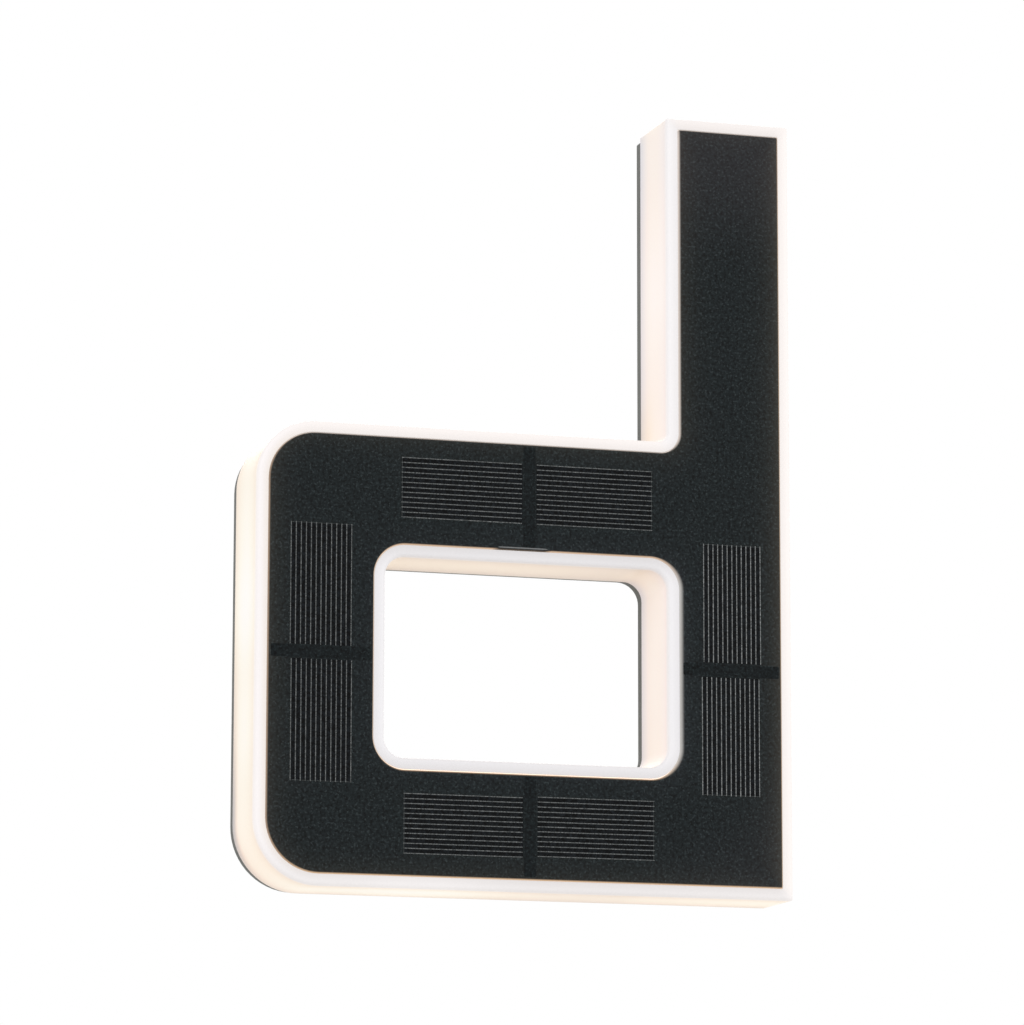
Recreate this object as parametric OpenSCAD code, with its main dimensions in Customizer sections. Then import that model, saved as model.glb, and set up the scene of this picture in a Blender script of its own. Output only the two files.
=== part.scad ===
// Illuminated house sign in the shape of a lower-case letter d, with solar cells on its face.
// Depths are measured forwards from the wall, so the wall is at depth 0 and the face at sign_d.
// The letter's outline is drawn from its lower left corner and then set on the hanging holes.

/* [Letter] */
// Width of the letter
letter_w = 140; // [138:1:150]
// Height of the letter
letter_h = 200; // [198:1:230]
// Height of the ring of the letter
ring_h = 115.5; // [114:0.5:118]
// Width of the strokes at the sides, the stem and the top of the ring
stroke_w = 33; // [32.5:0.5:34]
// Width of the stroke along the foot of the ring
foot_w = 32.3; // [31:0.1:34]
// Radius of the ring's upper left corner
ring_top_r = 15; // [8:0.5:18]
// Radius of the ring's lower left corner
ring_foot_r = 16.5; // [8:0.5:18]
// Radius of the inner corner where the stem leaves the ring
crotch_r = 2.2; // [1.5:0.1:4]
// Radius of the corners of the window in the ring
window_r = 5.1; // [3:0.1:8]

/* [Depth] */
// Depth of the whole sign, from the wall to its face
sign_d = 26.5; // [26:0.5:32]
// How far the solar board stands proud of the body's lip
panel_proud = 0.5; // [0:0.1:1]
// Height of the rear cover's edge that stands behind the body
cover_edge_d = 4; // [3.6:0.1:5]
// Thickness of the sealing gasket
seal_t = 0.5; // [0.3:0.1:1]

/* [Opal body] */
// Wall thickness of the body
wall_t = 2; // [1.6:0.1:2.2]
// Width of the lip round the solar board
lip_w = 3.1; // [2.6:0.1:4]
// Rounding of the body's front edges
edge_r = 1; // [0.4:0.1:1.4]
// Thickness of the front plate under the solar board
front_t = 2; // [1.5:0.1:3]
// Diameter of the screw bosses
boss_w = 6; // [5.5:0.1:6.5]
// Thickness of the ribs that tie the bosses to the front plate
rib_t = 1.2; // [0.8:0.1:2]

/* [Rear cover] */
// Thickness of the cover's floor
cover_t = 2; // [1.8:0.1:2.2]
// How far the cover's edge lies inside the body's outline
cover_inset = 0.6; // [0.3:0.1:1]
// Rounding of the cover's upright corners
cover_corner_r = 0.8; // [0.4:0.1:3]
// Height of the locating rim inside the body
spigot_h = 3; // [2:0.5:5]
// Thickness of the locating rim
spigot_t = 1.2; // [1:0.1:1.4]
// Gap between the locating rim and the body's wall
spigot_gap = 0.15; // [0.1:0.05:0.3]

/* [Hanging] */
// Diameter of the hole that the screw head passes through
hang_head_w = 9; // [8:0.5:9.5]
// Width of the slot that the screw's neck slides up in
hang_neck_w = 4.6; // [3.5:0.1:5]
// Length of the slot, from the hole's centre to the slot's end
hang_travel = 7; // [5:0.5:8]
// Depth of the pocket behind the slot
hang_pocket_d = 4.6; // [4.3:0.1:6]
// Distance of the holes below the top of the ring
hang_drop = 19.5; // [19:0.5:21]

/* [Solar board] */
// Thickness of the solar board
panel_t = 1.8; // [1.2:0.1:2.5]
// Gap between the solar board and the body's lip
panel_gap = 0.2; // [0.1:0.05:0.4]
// Thickness of the adhesive under the solar board
glue_t = 0.3; // [0.1:0.1:0.6]
// Length of each solar cell's face
cell_len = 31; // [28:0.2:31.4]
// Width of each solar cell's face
cell_w = 15.4; // [14:0.1:18]
// Thickness of each solar cell
cell_t = 0.4; // [0.2:0.1:0.6]
// Number of collector lines on a cell
finger_count = 13; // [7:2:17]
// Width of a collector line
finger_w = 0.34; // [0.1:0.02:0.5]
// Height of a collector line over the cell
finger_t = 0.06; // [0.02:0.01:0.1]
// Width of the strips between the cells
strip_w = 3.5; // [3:0.1:4]
// Thickness of the strips between the cells
strip_t = 0.15; // [0.1:0.05:0.3]

/* [Lamps] */
// Width of the lamp boards
lamp_board_w = 5; // [4:0.1:5.2]
// Thickness of the lamp boards
lamp_board_t = 1.2; // [0.8:0.1:1.6]
// Length of a lamp
lamp_len = 3.5; // [2.8:0.1:4]
// Width of a lamp
lamp_w = 2.8; // [2:0.1:3]
// Height of a lamp
lamp_t = 0.7; // [0.5:0.1:1]

/* [Battery] */
// Diameter of the cell
battery_w = 14.2; // [14:0.1:14.5]
// Length of the cell without its nub
battery_len = 49.2; // [47:0.1:50]
// Diameter of the cell's nub
nub_w = 5.5; // [4:0.1:6]
// Height of the cell's nub
nub_t = 1.2; // [0.8:0.1:1.5]
// Space on each side of the cell in its bay
battery_gap = 0.8; // [0.5:0.1:0.9]
// Length that the spring takes up
spring_len = 5; // [4:0.1:6]
// Wall thickness of the battery bay
bay_wall_t = 2; // [1.6:0.1:2]
// Thickness of the battery door
door_t = 1.8; // [1.5:0.1:2]
// Gap round the battery door
door_gap = 0.25; // [0.2:0.05:0.4]

/* [Switch] */
// Travel of the switch knob
switch_travel = 2.5; // [1.5:0.1:3]
// Width of the switch knob along its travel
knob_w = 3; // [2:0.1:4]
// Height of the switch knob across its travel
knob_h = 2.6; // [2:0.1:3]

/* [Hidden] */

$fn = 64;
// Overrun of every cut past the face that it opens
over = 1;
// Clearance between parts that are pushed together
fit_gap = 0.1;
// Clearance round a screw's shank or head
screw_gap = 0.2;

// Colours of the parts
OPAL = [0.98, 0.95, 0.90];
COVER = [0.26, 0.26, 0.25];
GASKET = [0.15, 0.15, 0.15];
LAMINATE = [0.16, 0.18, 0.18];
SILICON = [0.09, 0.10, 0.11];
STRIP = [0.12, 0.13, 0.14];
STEEL = [0.72, 0.72, 0.73];
BOARD_WHITE = [0.92, 0.93, 0.90];
BOARD_GREEN = [0.10, 0.35, 0.20];
CHIP = [0.08, 0.08, 0.09];
LAMP = [1.0, 0.85, 0.55];
CELL_WRAP = [0.16, 0.42, 0.55];
RESIN = [0.85, 0.84, 0.80];
RED = [0.75, 0.10, 0.08];

// Depths of the body and the cover, from the wall
body_rear_d = cover_edge_d + seal_t;
lip_d = sign_d - panel_proud;
panel_rear_d = sign_d - panel_t;
recess_d = panel_rear_d - glue_t;
front_rear_d = recess_d - front_t;
glue_inset = 2;

// The stem's left side, the window's top and what the body leaves free inside its rim
stem_x = letter_w - stroke_w;
window_top = ring_h - stroke_w;
rim_inset = wall_t + spigot_gap + spigot_t;

// The four sides of the ring, at the middle of each stroke
mid_left = stroke_w / 2;
mid_right = letter_w - stroke_w / 2;
mid_foot = foot_w / 2;
mid_top = ring_h - stroke_w / 2;
ring_mid_z = ring_h / 2;

// The hanging holes, one over each side of the ring
hang_z = ring_h - hang_drop;
hang_x = [mid_left, mid_right];
hang_wall_t = 1.5;
hang_room_gap = 0.3;
hang_room_r = hang_head_w / 2 + hang_room_gap;
hang_roof_d = cover_t + hang_pocket_d;

// Self-tapping screws that hold the cover to the body, with the pillars that they stand in
screw_shank_w = 2.6;
screw_head_w = 5.2;
screw_head_t = 1.6;
screw_len = 12;
screw_seat_d = 2.6;
pillar_w = 7.4;
boss_inset = 6.4;
rib_rise_share = 0.72;
ring_screw_shares = [0.285, 0.715];
screw_spots = concat(
  [[boss_inset, ring_mid_z], [letter_w - boss_inset, ring_mid_z]],
  [for (s = ring_screw_shares) [s * letter_w, boss_inset]],
  [for (s = ring_screw_shares) [s * letter_w, ring_h - boss_inset]],
  [[stem_x + boss_inset, letter_h - boss_inset]]
);

// Lamp boards lie on the cover's floor, each drawn from its lower left corner
lamp_d = cover_t + lamp_board_t;
solder_step = 2.4;
side_board_rise = 2;
side_board_z = mid_foot + side_board_rise;
side_board_len = window_top - rim_inset - side_board_z;
ring_board_gap = 3;
ring_board_len = stem_x - 2 * (mid_left + ring_board_gap);
foot_board_gap = 11.5;
foot_board_x = mid_left + foot_board_gap;
stem_board_gap = 0.2;
stem_board_x = stem_x + rim_inset + stem_board_gap + lamp_board_w / 2;
stem_board_rise = 3.5;
stem_board_z = ring_h + stem_board_rise;
stem_board_drop = 1.5;
stem_board_len = letter_h - boss_inset - pillar_w / 2 - stem_board_drop - stem_board_z;

// The control board stands on two posts over the switch, between the cover's rim and its pillar
// and under the right hanging hole
board_t = 1.6;
board_d = 6.4;
board_gap = 1;
board_side_gap = 1.55;
board_drop = 2.5;
board_top_gap = 13.9;
board_x = stem_x + rim_inset + board_gap;
board_z = foot_w - board_drop;
board_w = letter_w - boss_inset - pillar_w / 2 - board_side_gap - board_x;
board_len = hang_z - hang_room_r - hang_wall_t - board_top_gap - board_z;
post_w = 5;
post_inset = 3;
post_spots = [[board_x + post_inset, board_z + post_inset],
              [board_x + board_w - post_inset, board_z + board_len - post_inset]];
board_screw_w = 1.9;
board_screw_head_w = 3.6;
board_screw_head_t = 1.3;
board_screw_len = 5;
board_top_d = board_d + board_t;
// Pieces on the control board: width, length and height, with the shares of the board at which
// each stands
part_x_share = 0.7;
chip_size = [5, 5, 1.5];
choke_w = 6;
choke_t = 3;
capacitor_size = [3, 2, 2];
chip_share = 0.32;
choke_share = 0.52;
capacitor_shares = [0.66, 0.75];
right_lamp_x_share = 0.3;
right_lamp_shares = [0.15, 0.62];

// The battery bay runs up the stem, over the right hanging hole
bay_w = battery_w + 2 * battery_gap;
bay_len = battery_len + nub_t + spring_len + 2 * battery_gap;
bay_x = letter_w - rim_inset - bay_wall_t - bay_w / 2;
ear_r = 4;
ear_wall_t = 1;
ear_step = bay_wall_t + ear_r;
bay_gap = 3;
bay_z = hang_z + hang_travel + hang_room_r + hang_wall_t + bay_gap + 2 * ear_r + bay_wall_t;
bay_top_z = bay_z + bay_len;
door_seal_t = 0.4;
door_ledge_w = 1.4;
door_rebate_d = door_t + door_seal_t;
battery_d = door_rebate_d + battery_gap + battery_w / 2;
bay_floor_d = battery_d + battery_w / 2 + battery_gap;
contact_w = 9;
spring_foot_share = 0.36;
spring_top_share = 0.22;
spring_wire_w = 0.7;
spring_turns = 4;
spring_steps = 10;
spring_sides = 6;
door_screw_w = 2.2;
door_screw_head_w = 4.2;
door_screw_head_t = 1;
door_screw_len = 7;
ear_block_d = door_rebate_d + door_screw_len;
ear_spots = [[bay_x, bay_z - ear_step], [bay_x, bay_top_z + ear_step]];

// The switch under the control board, with its dish in the cover for a fingertip
switch_shares = [0.47, 0.3];
switch_x = board_x + switch_shares[0] * board_w;
switch_z = board_z + switch_shares[1] * board_len;
switch_w = 10;
switch_h = 5;
switch_gap = 0.3;
switch_d = cover_t + switch_gap;
knob_proud = 0.7;
knob_tongue_t = 0.8;
knob_tongue_h = 1;
knob_gap = 0.25;
knob_slot_w = knob_w + switch_travel + 2 * knob_gap;
dish_w = 14;
dish_h = 9;
dish_d = 1;

// Insulated leads, the round elbows being a little thicker than the lead
lead_w = 1.2;
elbow_share = 1.08;
lead_pair_share = 1.2;
lead_high_d = board_top_d + 1.7 * lead_w;
lead_low_d = lamp_d + 1.8 * lead_w;
panel_lead_x = board_x + board_w / 2;
panel_lead_z = board_z + board_len - 2 * post_inset;
battery_lead_x = bay_x - bay_w / 2 - bay_wall_t - lead_w / 2 - fit_gap / 2;
battery_lead_step = 2.5 * lead_w;

// Half the distance between the middles of two cells in a pair, with room beside their strip
cell_gap = 0.15;
pair_step = (strip_w + cell_len) / 2 + cell_gap;
// How far each cell was laid off its true place by hand, across and up, as shares of its width
hand_shares = [
  [-0.018, 0.052], [0.012, 0.058], [0.024, -0.018], [-0.008, -0.008],
  [0.034, 0.008], [0.02, -0.013], [0.013, -0.008], [-0.012, -0.017]
];
// The turn of each cell, as a share of a whole turn, so that its joining line lies outwards
turn_shares = [0, 0.5, 0.75, 0.25, 0.5, 0, 0.25, 0.75];
// The middles of the cells, across and up the letter
CELLS = [
  [letter_w / 2 - pair_step, mid_top],
  [letter_w / 2 + pair_step, mid_top],
  [mid_right, ring_mid_z + pair_step],
  [mid_right, ring_mid_z - pair_step],
  [letter_w / 2 + pair_step, mid_foot],
  [letter_w / 2 - pair_step, mid_foot],
  [mid_left, ring_mid_z - pair_step],
  [mid_left, ring_mid_z + pair_step]
];

// The strips between the cells, from the outer edge of the face to the window: middle and size,
// the middle laid off by a share of the strip's width
strip_shares = [0.03, -0.056, 0.129, -0.053];
STRIPS = [
  [letter_w / 2 + strip_shares[0] * strip_w, mid_top, strip_w, stroke_w - 2 * lip_w],
  [mid_right, ring_mid_z + strip_shares[1] * strip_w, stroke_w - 2 * lip_w, strip_w],
  [letter_w / 2 + strip_shares[2] * strip_w, mid_foot, strip_w, foot_w - 2 * lip_w],
  [mid_left, ring_mid_z + strip_shares[3] * strip_w, stroke_w - 2 * lip_w, strip_w]
];

// The lamp boards: lower left corner and size of each
BOARDS = [
  [mid_left - lamp_board_w / 2, side_board_z, lamp_board_w, side_board_len],
  [foot_board_x, mid_foot - lamp_board_w / 2, ring_board_len, lamp_board_w],
  [letter_w / 2 - ring_board_len / 2, mid_top - lamp_board_w / 2, ring_board_len, lamp_board_w],
  [stem_board_x - lamp_board_w / 2, stem_board_z, lamp_board_w, stem_board_len]
];
// Places of the lamps along each board, as shares of its length
LAMP_SHARES = [[0.35, 0.88], [0.16, 0.4], [0.28, 0.72], [0.42, 0.66]];

// The points of the letter's outline as a flat shape, drawn in by inset and with corner_r at
// the three corners that are square on the body
module letter(inset, corner_r = 0) {
  translate([inset, inset])
    rounded(letter_w - 2 * inset, ring_h - 2 * inset,
            [ring_foot_r - inset, corner_r, 0, ring_top_r - inset]);
  translate([stem_x + inset, ring_h / 2])
    rounded(stroke_w - 2 * inset, letter_h - ring_h / 2 - inset, [0, 0, corner_r, corner_r]);
  translate([stem_x + inset, ring_h - inset]) mirror([1, 0]) fillet(crotch_r + inset);
}

// The window in the ring, made larger by inset so that it follows the letter's edge
module window(inset) {
  translate([stroke_w - inset, foot_w - inset])
    rounded(stem_x - stroke_w + 2 * inset, window_top - foot_w + 2 * inset,
            [for (k = [0:3]) window_r + inset]);
}

// The letter with its window, drawn in by inset on every edge
module band(inset, corner_r = 0) {
  difference() {
    letter(inset, corner_r);
    window(inset);
  }
}

// A rectangle with a radius for each corner, from the lower left and on anticlockwise
module rounded(w, h, radii) {
  spots = [[0, 0], [w, 0], [w, h], [0, h]];
  difference() {
    square([w, h]);
    for (k = [0:3]) if (radii[k] > 0)
      translate(spots[k]) rotate(90 * k) translate([-over, -over]) square(radii[k] + over);
  }
  for (k = [0:3]) if (radii[k] > 0)
    translate(spots[k]) rotate(90 * k) translate([radii[k], radii[k]]) circle(radii[k]);
}

// The web that fills an inner corner with a radius
module fillet(r) {
  difference() {
    translate([-over, -over]) square(r + over);
    translate([r, r]) circle(r);
  }
}

// A flat shape given thickness between two depths from the wall
module layer(from_d, to_d) {
  translate([-letter_w / 2, -from_d, -hang_z]) rotate([90, 0, 0])
    linear_extrude(to_d - from_d) children();
}

// A place in the letter, at a depth from the wall, looking forwards
module at(x, d, z) {
  translate([x - letter_w / 2, -d, z - hang_z]) children();
}

module opal_body() color(OPAL) {
  difference() {
    union() {
      difference() {
        layer(body_rear_d, lip_d) band(0);
        layer(body_rear_d - over, front_rear_d) band(wall_t);
      }
      body_bosses();
    }
    layer(recess_d, lip_d + over) band(lip_w - panel_gap);
    for (p = screw_spots) layer(body_rear_d - over, body_rear_d + screw_len)
      translate(p) circle(d = screw_shank_w + fit_gap);
    lead_hole();
    front_edge_rounding();
  }
}

// Bosses that the cover's screws bite into, each with a cross of ribs under the front plate
module body_bosses() {
  rib_d = body_rear_d + rib_rise_share * (front_rear_d - body_rear_d);
  root_d = front_rear_d + front_t / 2;
  for (p = screw_spots) {
    layer(body_rear_d, root_d) translate(p) circle(d = boss_w);
    layer(rib_d, root_d) intersection() {
      translate(p) for (turn = [0, 90]) rotate(turn) square([2 * boss_w, rib_t], center = true);
      band(wall_t / 2);
    }
  }
}

// Hole in the front plate for the solar board's leads
module lead_hole() {
  layer(front_rear_d - over, recess_d + over)
    translate([panel_lead_x, panel_lead_z]) circle(d = 3 * lead_w);
}

// What the rounded front edges take away, carried along the outline and the window
module front_edge_rounding() {
  at(0, lip_d, 0) rotate([90, 0, 0]) {
    edge_run([ring_foot_r, 0], letter_w - ring_foot_r + over, 0);
    edge_run([letter_w, -over], letter_h + 2 * over, 90);
    edge_run([letter_w + over, letter_h], stroke_w + 2 * over, 180);
    edge_run([stem_x, letter_h + over], letter_h + over - ring_h - crotch_r, 270);
    edge_run([stem_x - crotch_r, ring_h], stem_x - crotch_r - ring_top_r, 180);
    edge_run([0, ring_h - ring_top_r], ring_h - ring_top_r - ring_foot_r, 270);
    edge_bend([ring_foot_r, ring_foot_r], ring_foot_r, 180);
    edge_bend([ring_top_r, ring_h - ring_top_r], ring_top_r, 90);
    edge_hollow([stem_x - crotch_r, ring_h + crotch_r], crotch_r, 270);
    window_edges();
  }
}

module window_edges() {
  x0 = stroke_w;
  x1 = stem_x;
  z0 = foot_w;
  z1 = window_top;
  r = window_r;
  edge_run([x1 - r, z0], x1 - x0 - 2 * r, 180);
  edge_run([x0, z0 + r], z1 - z0 - 2 * r, 90);
  edge_run([x0 + r, z1], x1 - x0 - 2 * r, 0);
  edge_run([x1, z1 - r], z1 - z0 - 2 * r, 270);
  edge_hollow([x0 + r, z0 + r], r, 180);
  edge_hollow([x1 - r, z0 + r], r, 270);
  edge_hollow([x1 - r, z1 - r], r, 0);
  edge_hollow([x0 + r, z1 - r], r, 90);
}

// Section of what the rounding takes away, with the edge at the origin and the body at -x, -y
module edge_waste() {
  difference() {
    translate([-edge_r, -edge_r]) square(edge_r + over);
    translate([-edge_r, -edge_r]) circle(edge_r);
  }
}

// The waste along a straight edge that starts at from and runs len in the direction turn
module edge_run(from, len, turn) {
  translate(from) rotate(turn) rotate([90, 0, 90]) linear_extrude(len)
    mirror([1, 0]) edge_waste();
}

// The waste round an outer corner, a quarter turn from the angle turn
module edge_bend(centre, r, turn) {
  translate(centre) rotate(turn) rotate_extrude(angle = 90) translate([r, 0]) edge_waste();
}

// The waste round an inner corner, a quarter turn from the angle turn
module edge_hollow(centre, r, turn) {
  translate(centre) rotate(turn) rotate_extrude(angle = 90) translate([r, 0]) mirror([1, 0])
    edge_waste();
}

module rear_cover() color(COVER) {
  difference() {
    union() {
      layer(0, cover_t) band(cover_inset, cover_corner_r);
      layer(0, cover_edge_d) difference() {
        band(cover_inset, cover_corner_r);
        band(rim_inset);
      }
      spigot();
      for (p = screw_spots) layer(0, body_rear_d) translate(p) circle(d = pillar_w);
      for (x = hang_x) layer(0, hang_roof_d + hang_wall_t) hang_outline(x, hang_wall_t);
      for (p = post_spots) layer(0, board_d) translate(p) circle(d = post_w);
      bay_walls();
    }
    for (p = screw_spots) {
      layer(-over, body_rear_d + over) translate(p) circle(d = screw_shank_w + 2 * screw_gap);
      layer(-over, screw_seat_d) translate(p) circle(d = screw_head_w + 2 * screw_gap);
    }
    for (x = hang_x) hang_cut(x);
    for (p = post_spots)
      layer(board_d - board_screw_len, board_d + over) translate(p)
        circle(d = board_screw_w + fit_gap);
    bay_cut();
    switch_cut();
  }
}

// The rim that sits inside the body's walls, cut away round the bosses
module spigot() {
  layer(0, body_rear_d + spigot_h) difference() {
    band(wall_t + spigot_gap);
    band(rim_inset);
    for (p = screw_spots) translate(p) circle(d = pillar_w);
  }
}

// Outline of a hanging hole's pocket, grown by extra
module hang_outline(x, extra) {
  r = hang_room_r + extra;
  translate([x, hang_z]) circle(r);
  translate([x, hang_z + hang_travel]) circle(r);
  translate([x - r, hang_z]) square([2 * r, hang_travel]);
}

module hang_cut(x) {
  layer(cover_t, hang_roof_d) hang_outline(x, 0);
  layer(-over, cover_t + over) translate([x, hang_z]) circle(d = hang_head_w);
  layer(-over, cover_t + over) {
    translate([x - hang_neck_w / 2, hang_z]) square([hang_neck_w, hang_travel]);
    translate([x, hang_z + hang_travel]) circle(d = hang_neck_w);
  }
}

// A rectangle about the battery bay's middle, grown by extra
module bay_outline(extra) {
  translate([bay_x - bay_w / 2 - extra, bay_z - extra])
    square([bay_w + 2 * extra, bay_len + 2 * extra]);
}

// Outline of the battery door with its two screw ears, drawn in by gap
module door_outline(gap) {
  bay_outline(door_ledge_w - gap);
  for (p = ear_spots) {
    translate(p) circle(ear_r - gap);
    translate([p[0] - ear_r + gap, min(p[1], bay_top_z)]) square([2 * (ear_r - gap), ear_step]);
  }
}

module bay_walls() {
  layer(0, bay_floor_d + bay_wall_t) bay_outline(bay_wall_t);
  layer(0, ear_block_d + bay_wall_t) for (p = ear_spots) {
    translate(p) circle(ear_r + ear_wall_t);
    translate([p[0] - ear_r - ear_wall_t, min(p[1], bay_top_z)])
      square([2 * (ear_r + ear_wall_t), ear_step]);
  }
}

module bay_cut() {
  layer(-over, bay_floor_d) bay_outline(0);
  layer(-over, door_rebate_d) door_outline(0);
  for (p = ear_spots)
    layer(0, ear_block_d) translate(p) circle(d = door_screw_w + 2 * screw_gap);
}

// Dish for the fingertip, with the slot that the switch knob comes through
module switch_cut() {
  layer(-over, dish_d) translate([switch_x - dish_w / 2, switch_z - dish_h / 2])
    rounded(dish_w, dish_h, [for (k = [0:3]) dish_h / 4]);
  layer(-over, cover_t + over) translate([switch_x, switch_z])
    square([knob_slot_w, knob_h + 2 * knob_gap], center = true);
}

module cover_seal() color(GASKET) {
  layer(cover_edge_d, body_rear_d) difference() {
    band(cover_inset + fit_gap, cover_corner_r);
    band(wall_t);
  }
}

// A pan-head screw that points forwards, with its head's face at depth d
module screw(p, d, head_w, head_t, shank_w, len) {
  layer(d, d + head_t) translate(p) circle(d = head_w);
  layer(d + head_t, d + len) translate(p) circle(d = shank_w);
}

module cover_screws() color(STEEL) {
  for (p = screw_spots)
    difference() {
      screw(p, screw_seat_d - screw_head_t, screw_head_w, screw_head_t, screw_shank_w, screw_len);
      cross_recess(p, screw_seat_d - screw_head_t, screw_head_w);
    }
}

// Cross recess in the head of a screw
module cross_recess(p, d, head_w) {
  slot_w = head_w / 6;
  layer(d - over, d + head_w / 6) translate(p) {
    square([head_w / 2, slot_w], center = true);
    square([slot_w, head_w / 2], center = true);
  }
}

module solar_board() color(LAMINATE) {
  difference() {
    layer(panel_rear_d, sign_d) band(lip_w);
    for (k = [0:len(CELLS) - 1]) cell_place(k) cell_blank(over);
    for (s = STRIPS) strip_blank(s, over);
  }
}

module panel_adhesive() color(RESIN) {
  difference() {
    layer(recess_d, panel_rear_d) band(lip_w + glue_inset);
    lead_hole();
  }
}

// Moves a cell's shape, drawn with its outer end at the left, to its place on the face
module cell_place(k) {
  c = CELLS[k];
  off = hand_shares[k] * cell_w;
  at(c[0] + off[0], sign_d, c[1] + off[1]) rotate([90, 0, 0]) rotate(360 * turn_shares[k])
    children();
}

// The cell's body, its face just under the board's, raised by top where it cuts the pocket
module cell_blank(top) {
  translate([-cell_len / 2, -cell_w / 2, -cell_t - finger_t]) cube([cell_len, cell_w, cell_t + top]);
}

// A cell with its collector lines, joined by a line across its outer end
module cell(k) color(SILICON) {
  pitch = (cell_w - finger_w) / (finger_count - 1);
  root_t = cell_t / 2;
  cell_place(k) {
    cell_blank(0);
    for (n = [0:finger_count - 1])
      translate([-cell_len / 2, -cell_w / 2 + n * pitch, -root_t])
        cube([cell_len, finger_w, root_t]);
    translate([-cell_len / 2, -cell_w / 2, -root_t]) cube([finger_w, cell_w, root_t]);
  }
}

module cell_top_left() cell(0);
module cell_top_right() cell(1);
module cell_right_upper() cell(2);
module cell_right_lower() cell(3);
module cell_foot_right() cell(4);
module cell_foot_left() cell(5);
module cell_left_lower() cell(6);
module cell_left_upper() cell(7);

// A strip laid in the face, or what it takes from the board, run past its ends by extra
module strip_blank(s, extra) {
  run = s[2] > s[3] ? [extra, 0] : [0, extra];
  layer(sign_d - strip_t, sign_d + extra) translate([s[0], s[1]])
    square([s[2], s[3]] + 2 * run, center = true);
}

module strip(s) color(STRIP) strip_blank(s, 0);
module strip_top() strip(STRIPS[0]);
module strip_right() strip(STRIPS[1]);
module strip_foot() strip(STRIPS[2]);
module strip_left() strip(STRIPS[3]);

module lamp_board(b) color(BOARD_WHITE) {
  layer(cover_t, lamp_d) translate([b[0], b[1]]) square([b[2], b[3]]);
}

// Lamps in a row along a board, their long sides across it
module lamps(b, shares) color(LAMP) {
  upright = b[3] > b[2];
  for (s = shares)
    layer(lamp_d, lamp_d + lamp_t)
      translate(upright ? [b[0] + b[2] / 2, b[1] + s * b[3]] : [b[0] + s * b[2], b[1] + b[3] / 2])
        square(upright ? [lamp_len, lamp_w] : [lamp_w, lamp_len], center = true);
}

module lamp_board_left() lamp_board(BOARDS[0]);
module lamp_board_foot() lamp_board(BOARDS[1]);
module lamp_board_top() lamp_board(BOARDS[2]);
module lamp_board_stem() lamp_board(BOARDS[3]);
module lamps_left() lamps(BOARDS[0], LAMP_SHARES[0]);
module lamps_foot() lamps(BOARDS[1], LAMP_SHARES[1]);
module lamps_top() lamps(BOARDS[2], LAMP_SHARES[2]);
module lamps_stem() lamps(BOARDS[3], LAMP_SHARES[3]);

// Lamps on the front of the control board
module lamps_right() color(LAMP) {
  for (s = right_lamp_shares) layer(board_top_d, board_top_d + lamp_t)
    translate([board_x + right_lamp_x_share * board_w, board_z + s * board_len])
      square([lamp_len, lamp_w], center = true);
}

module control_board() color(BOARD_GREEN) {
  difference() {
    layer(board_d, board_top_d) translate([board_x, board_z]) square([board_w, board_len]);
    for (p = post_spots) layer(board_d - over, board_top_d + over) translate(p)
      circle(d = board_screw_w + 2 * screw_gap);
  }
}

// The charging chip, the choke and two capacitors on the front of the control board
module control_parts() color(CHIP) {
  layer(board_top_d, board_top_d + chip_size[2]) board_spot(chip_share)
    square([chip_size[0], chip_size[1]], center = true);
  layer(board_top_d, board_top_d + choke_t) board_spot(choke_share) circle(d = choke_w);
  for (s = capacitor_shares) layer(board_top_d, board_top_d + capacitor_size[2]) board_spot(s)
    square([capacitor_size[0], capacitor_size[1]], center = true);
}

// A place up the control board, by its share of the board's length
module board_spot(share) {
  translate([board_x + part_x_share * board_w, board_z + share * board_len]) children();
}

module board_screws() color(STEEL) {
  for (p = post_spots)
    translate([0, -2 * board_top_d, 0]) mirror([0, 1, 0])
      screw(p, board_top_d - board_screw_head_t, board_screw_head_w, board_screw_head_t,
            board_screw_w, board_screw_len);
}

module battery() color(CELL_WRAP) {
  at(bay_x, battery_d, bay_z + battery_gap + spring_len) {
    cylinder(h = battery_len, d = battery_w);
    translate([0, 0, battery_len]) cylinder(h = nub_t, d = nub_w);
  }
}

// A point of the spring's wire, which winds in as it rises
function spring_point(k) =
  let (turn = 360 * k / spring_steps, t = k / (spring_turns * spring_steps),
       r = battery_w * (spring_foot_share + t * (spring_top_share - spring_foot_share)))
  [r * cos(turn), r * sin(turn), spring_wire_w / 2 + t * (spring_len - spring_wire_w)];

module battery_spring() color(STEEL) {
  at(bay_x, battery_d, bay_z + battery_gap)
    coil([for (k = [0:spring_turns * spring_steps]) spring_point(k)], spring_wire_w,
         spring_sides);
  at(bay_x - contact_w / 2, battery_d + contact_w / 2, bay_z)
    cube([contact_w, contact_w, battery_gap]);
}

// A wire swept through points, with rings of upright sections that face along the path
module coil(path, w, sides) {
  n = len(path);
  ring = [for (i = [0:n - 1])
    let (a = path[max(i - 1, 0)], b = path[min(i + 1, n - 1)], dir = (b - a) / norm(b - a),
         out = cross(dir, [0, 0, 1]) / norm(cross(dir, [0, 0, 1])), up = cross(out, dir))
    for (k = [0:sides - 1])
      path[i] + w / 2 * (cos(360 * k / sides) * out + sin(360 * k / sides) * up)];
  skin = [for (i = [0:n - 2]) for (k = [0:sides - 1])
    let (a = i * sides + k, b = i * sides + (k + 1) % sides)
    for (t = [[a, b, b + sides], [a, b + sides, a + sides]]) t];
  ends = [[for (k = [0:sides - 1]) sides - 1 - k], [for (k = [0:sides - 1]) (n - 1) * sides + k]];
  polyhedron(ring, concat(skin, ends));
}

module battery_contact() color(STEEL) {
  at(bay_x - contact_w / 2, battery_d + contact_w / 2, bay_top_z - battery_gap)
    cube([contact_w, contact_w, battery_gap]);
}

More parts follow.
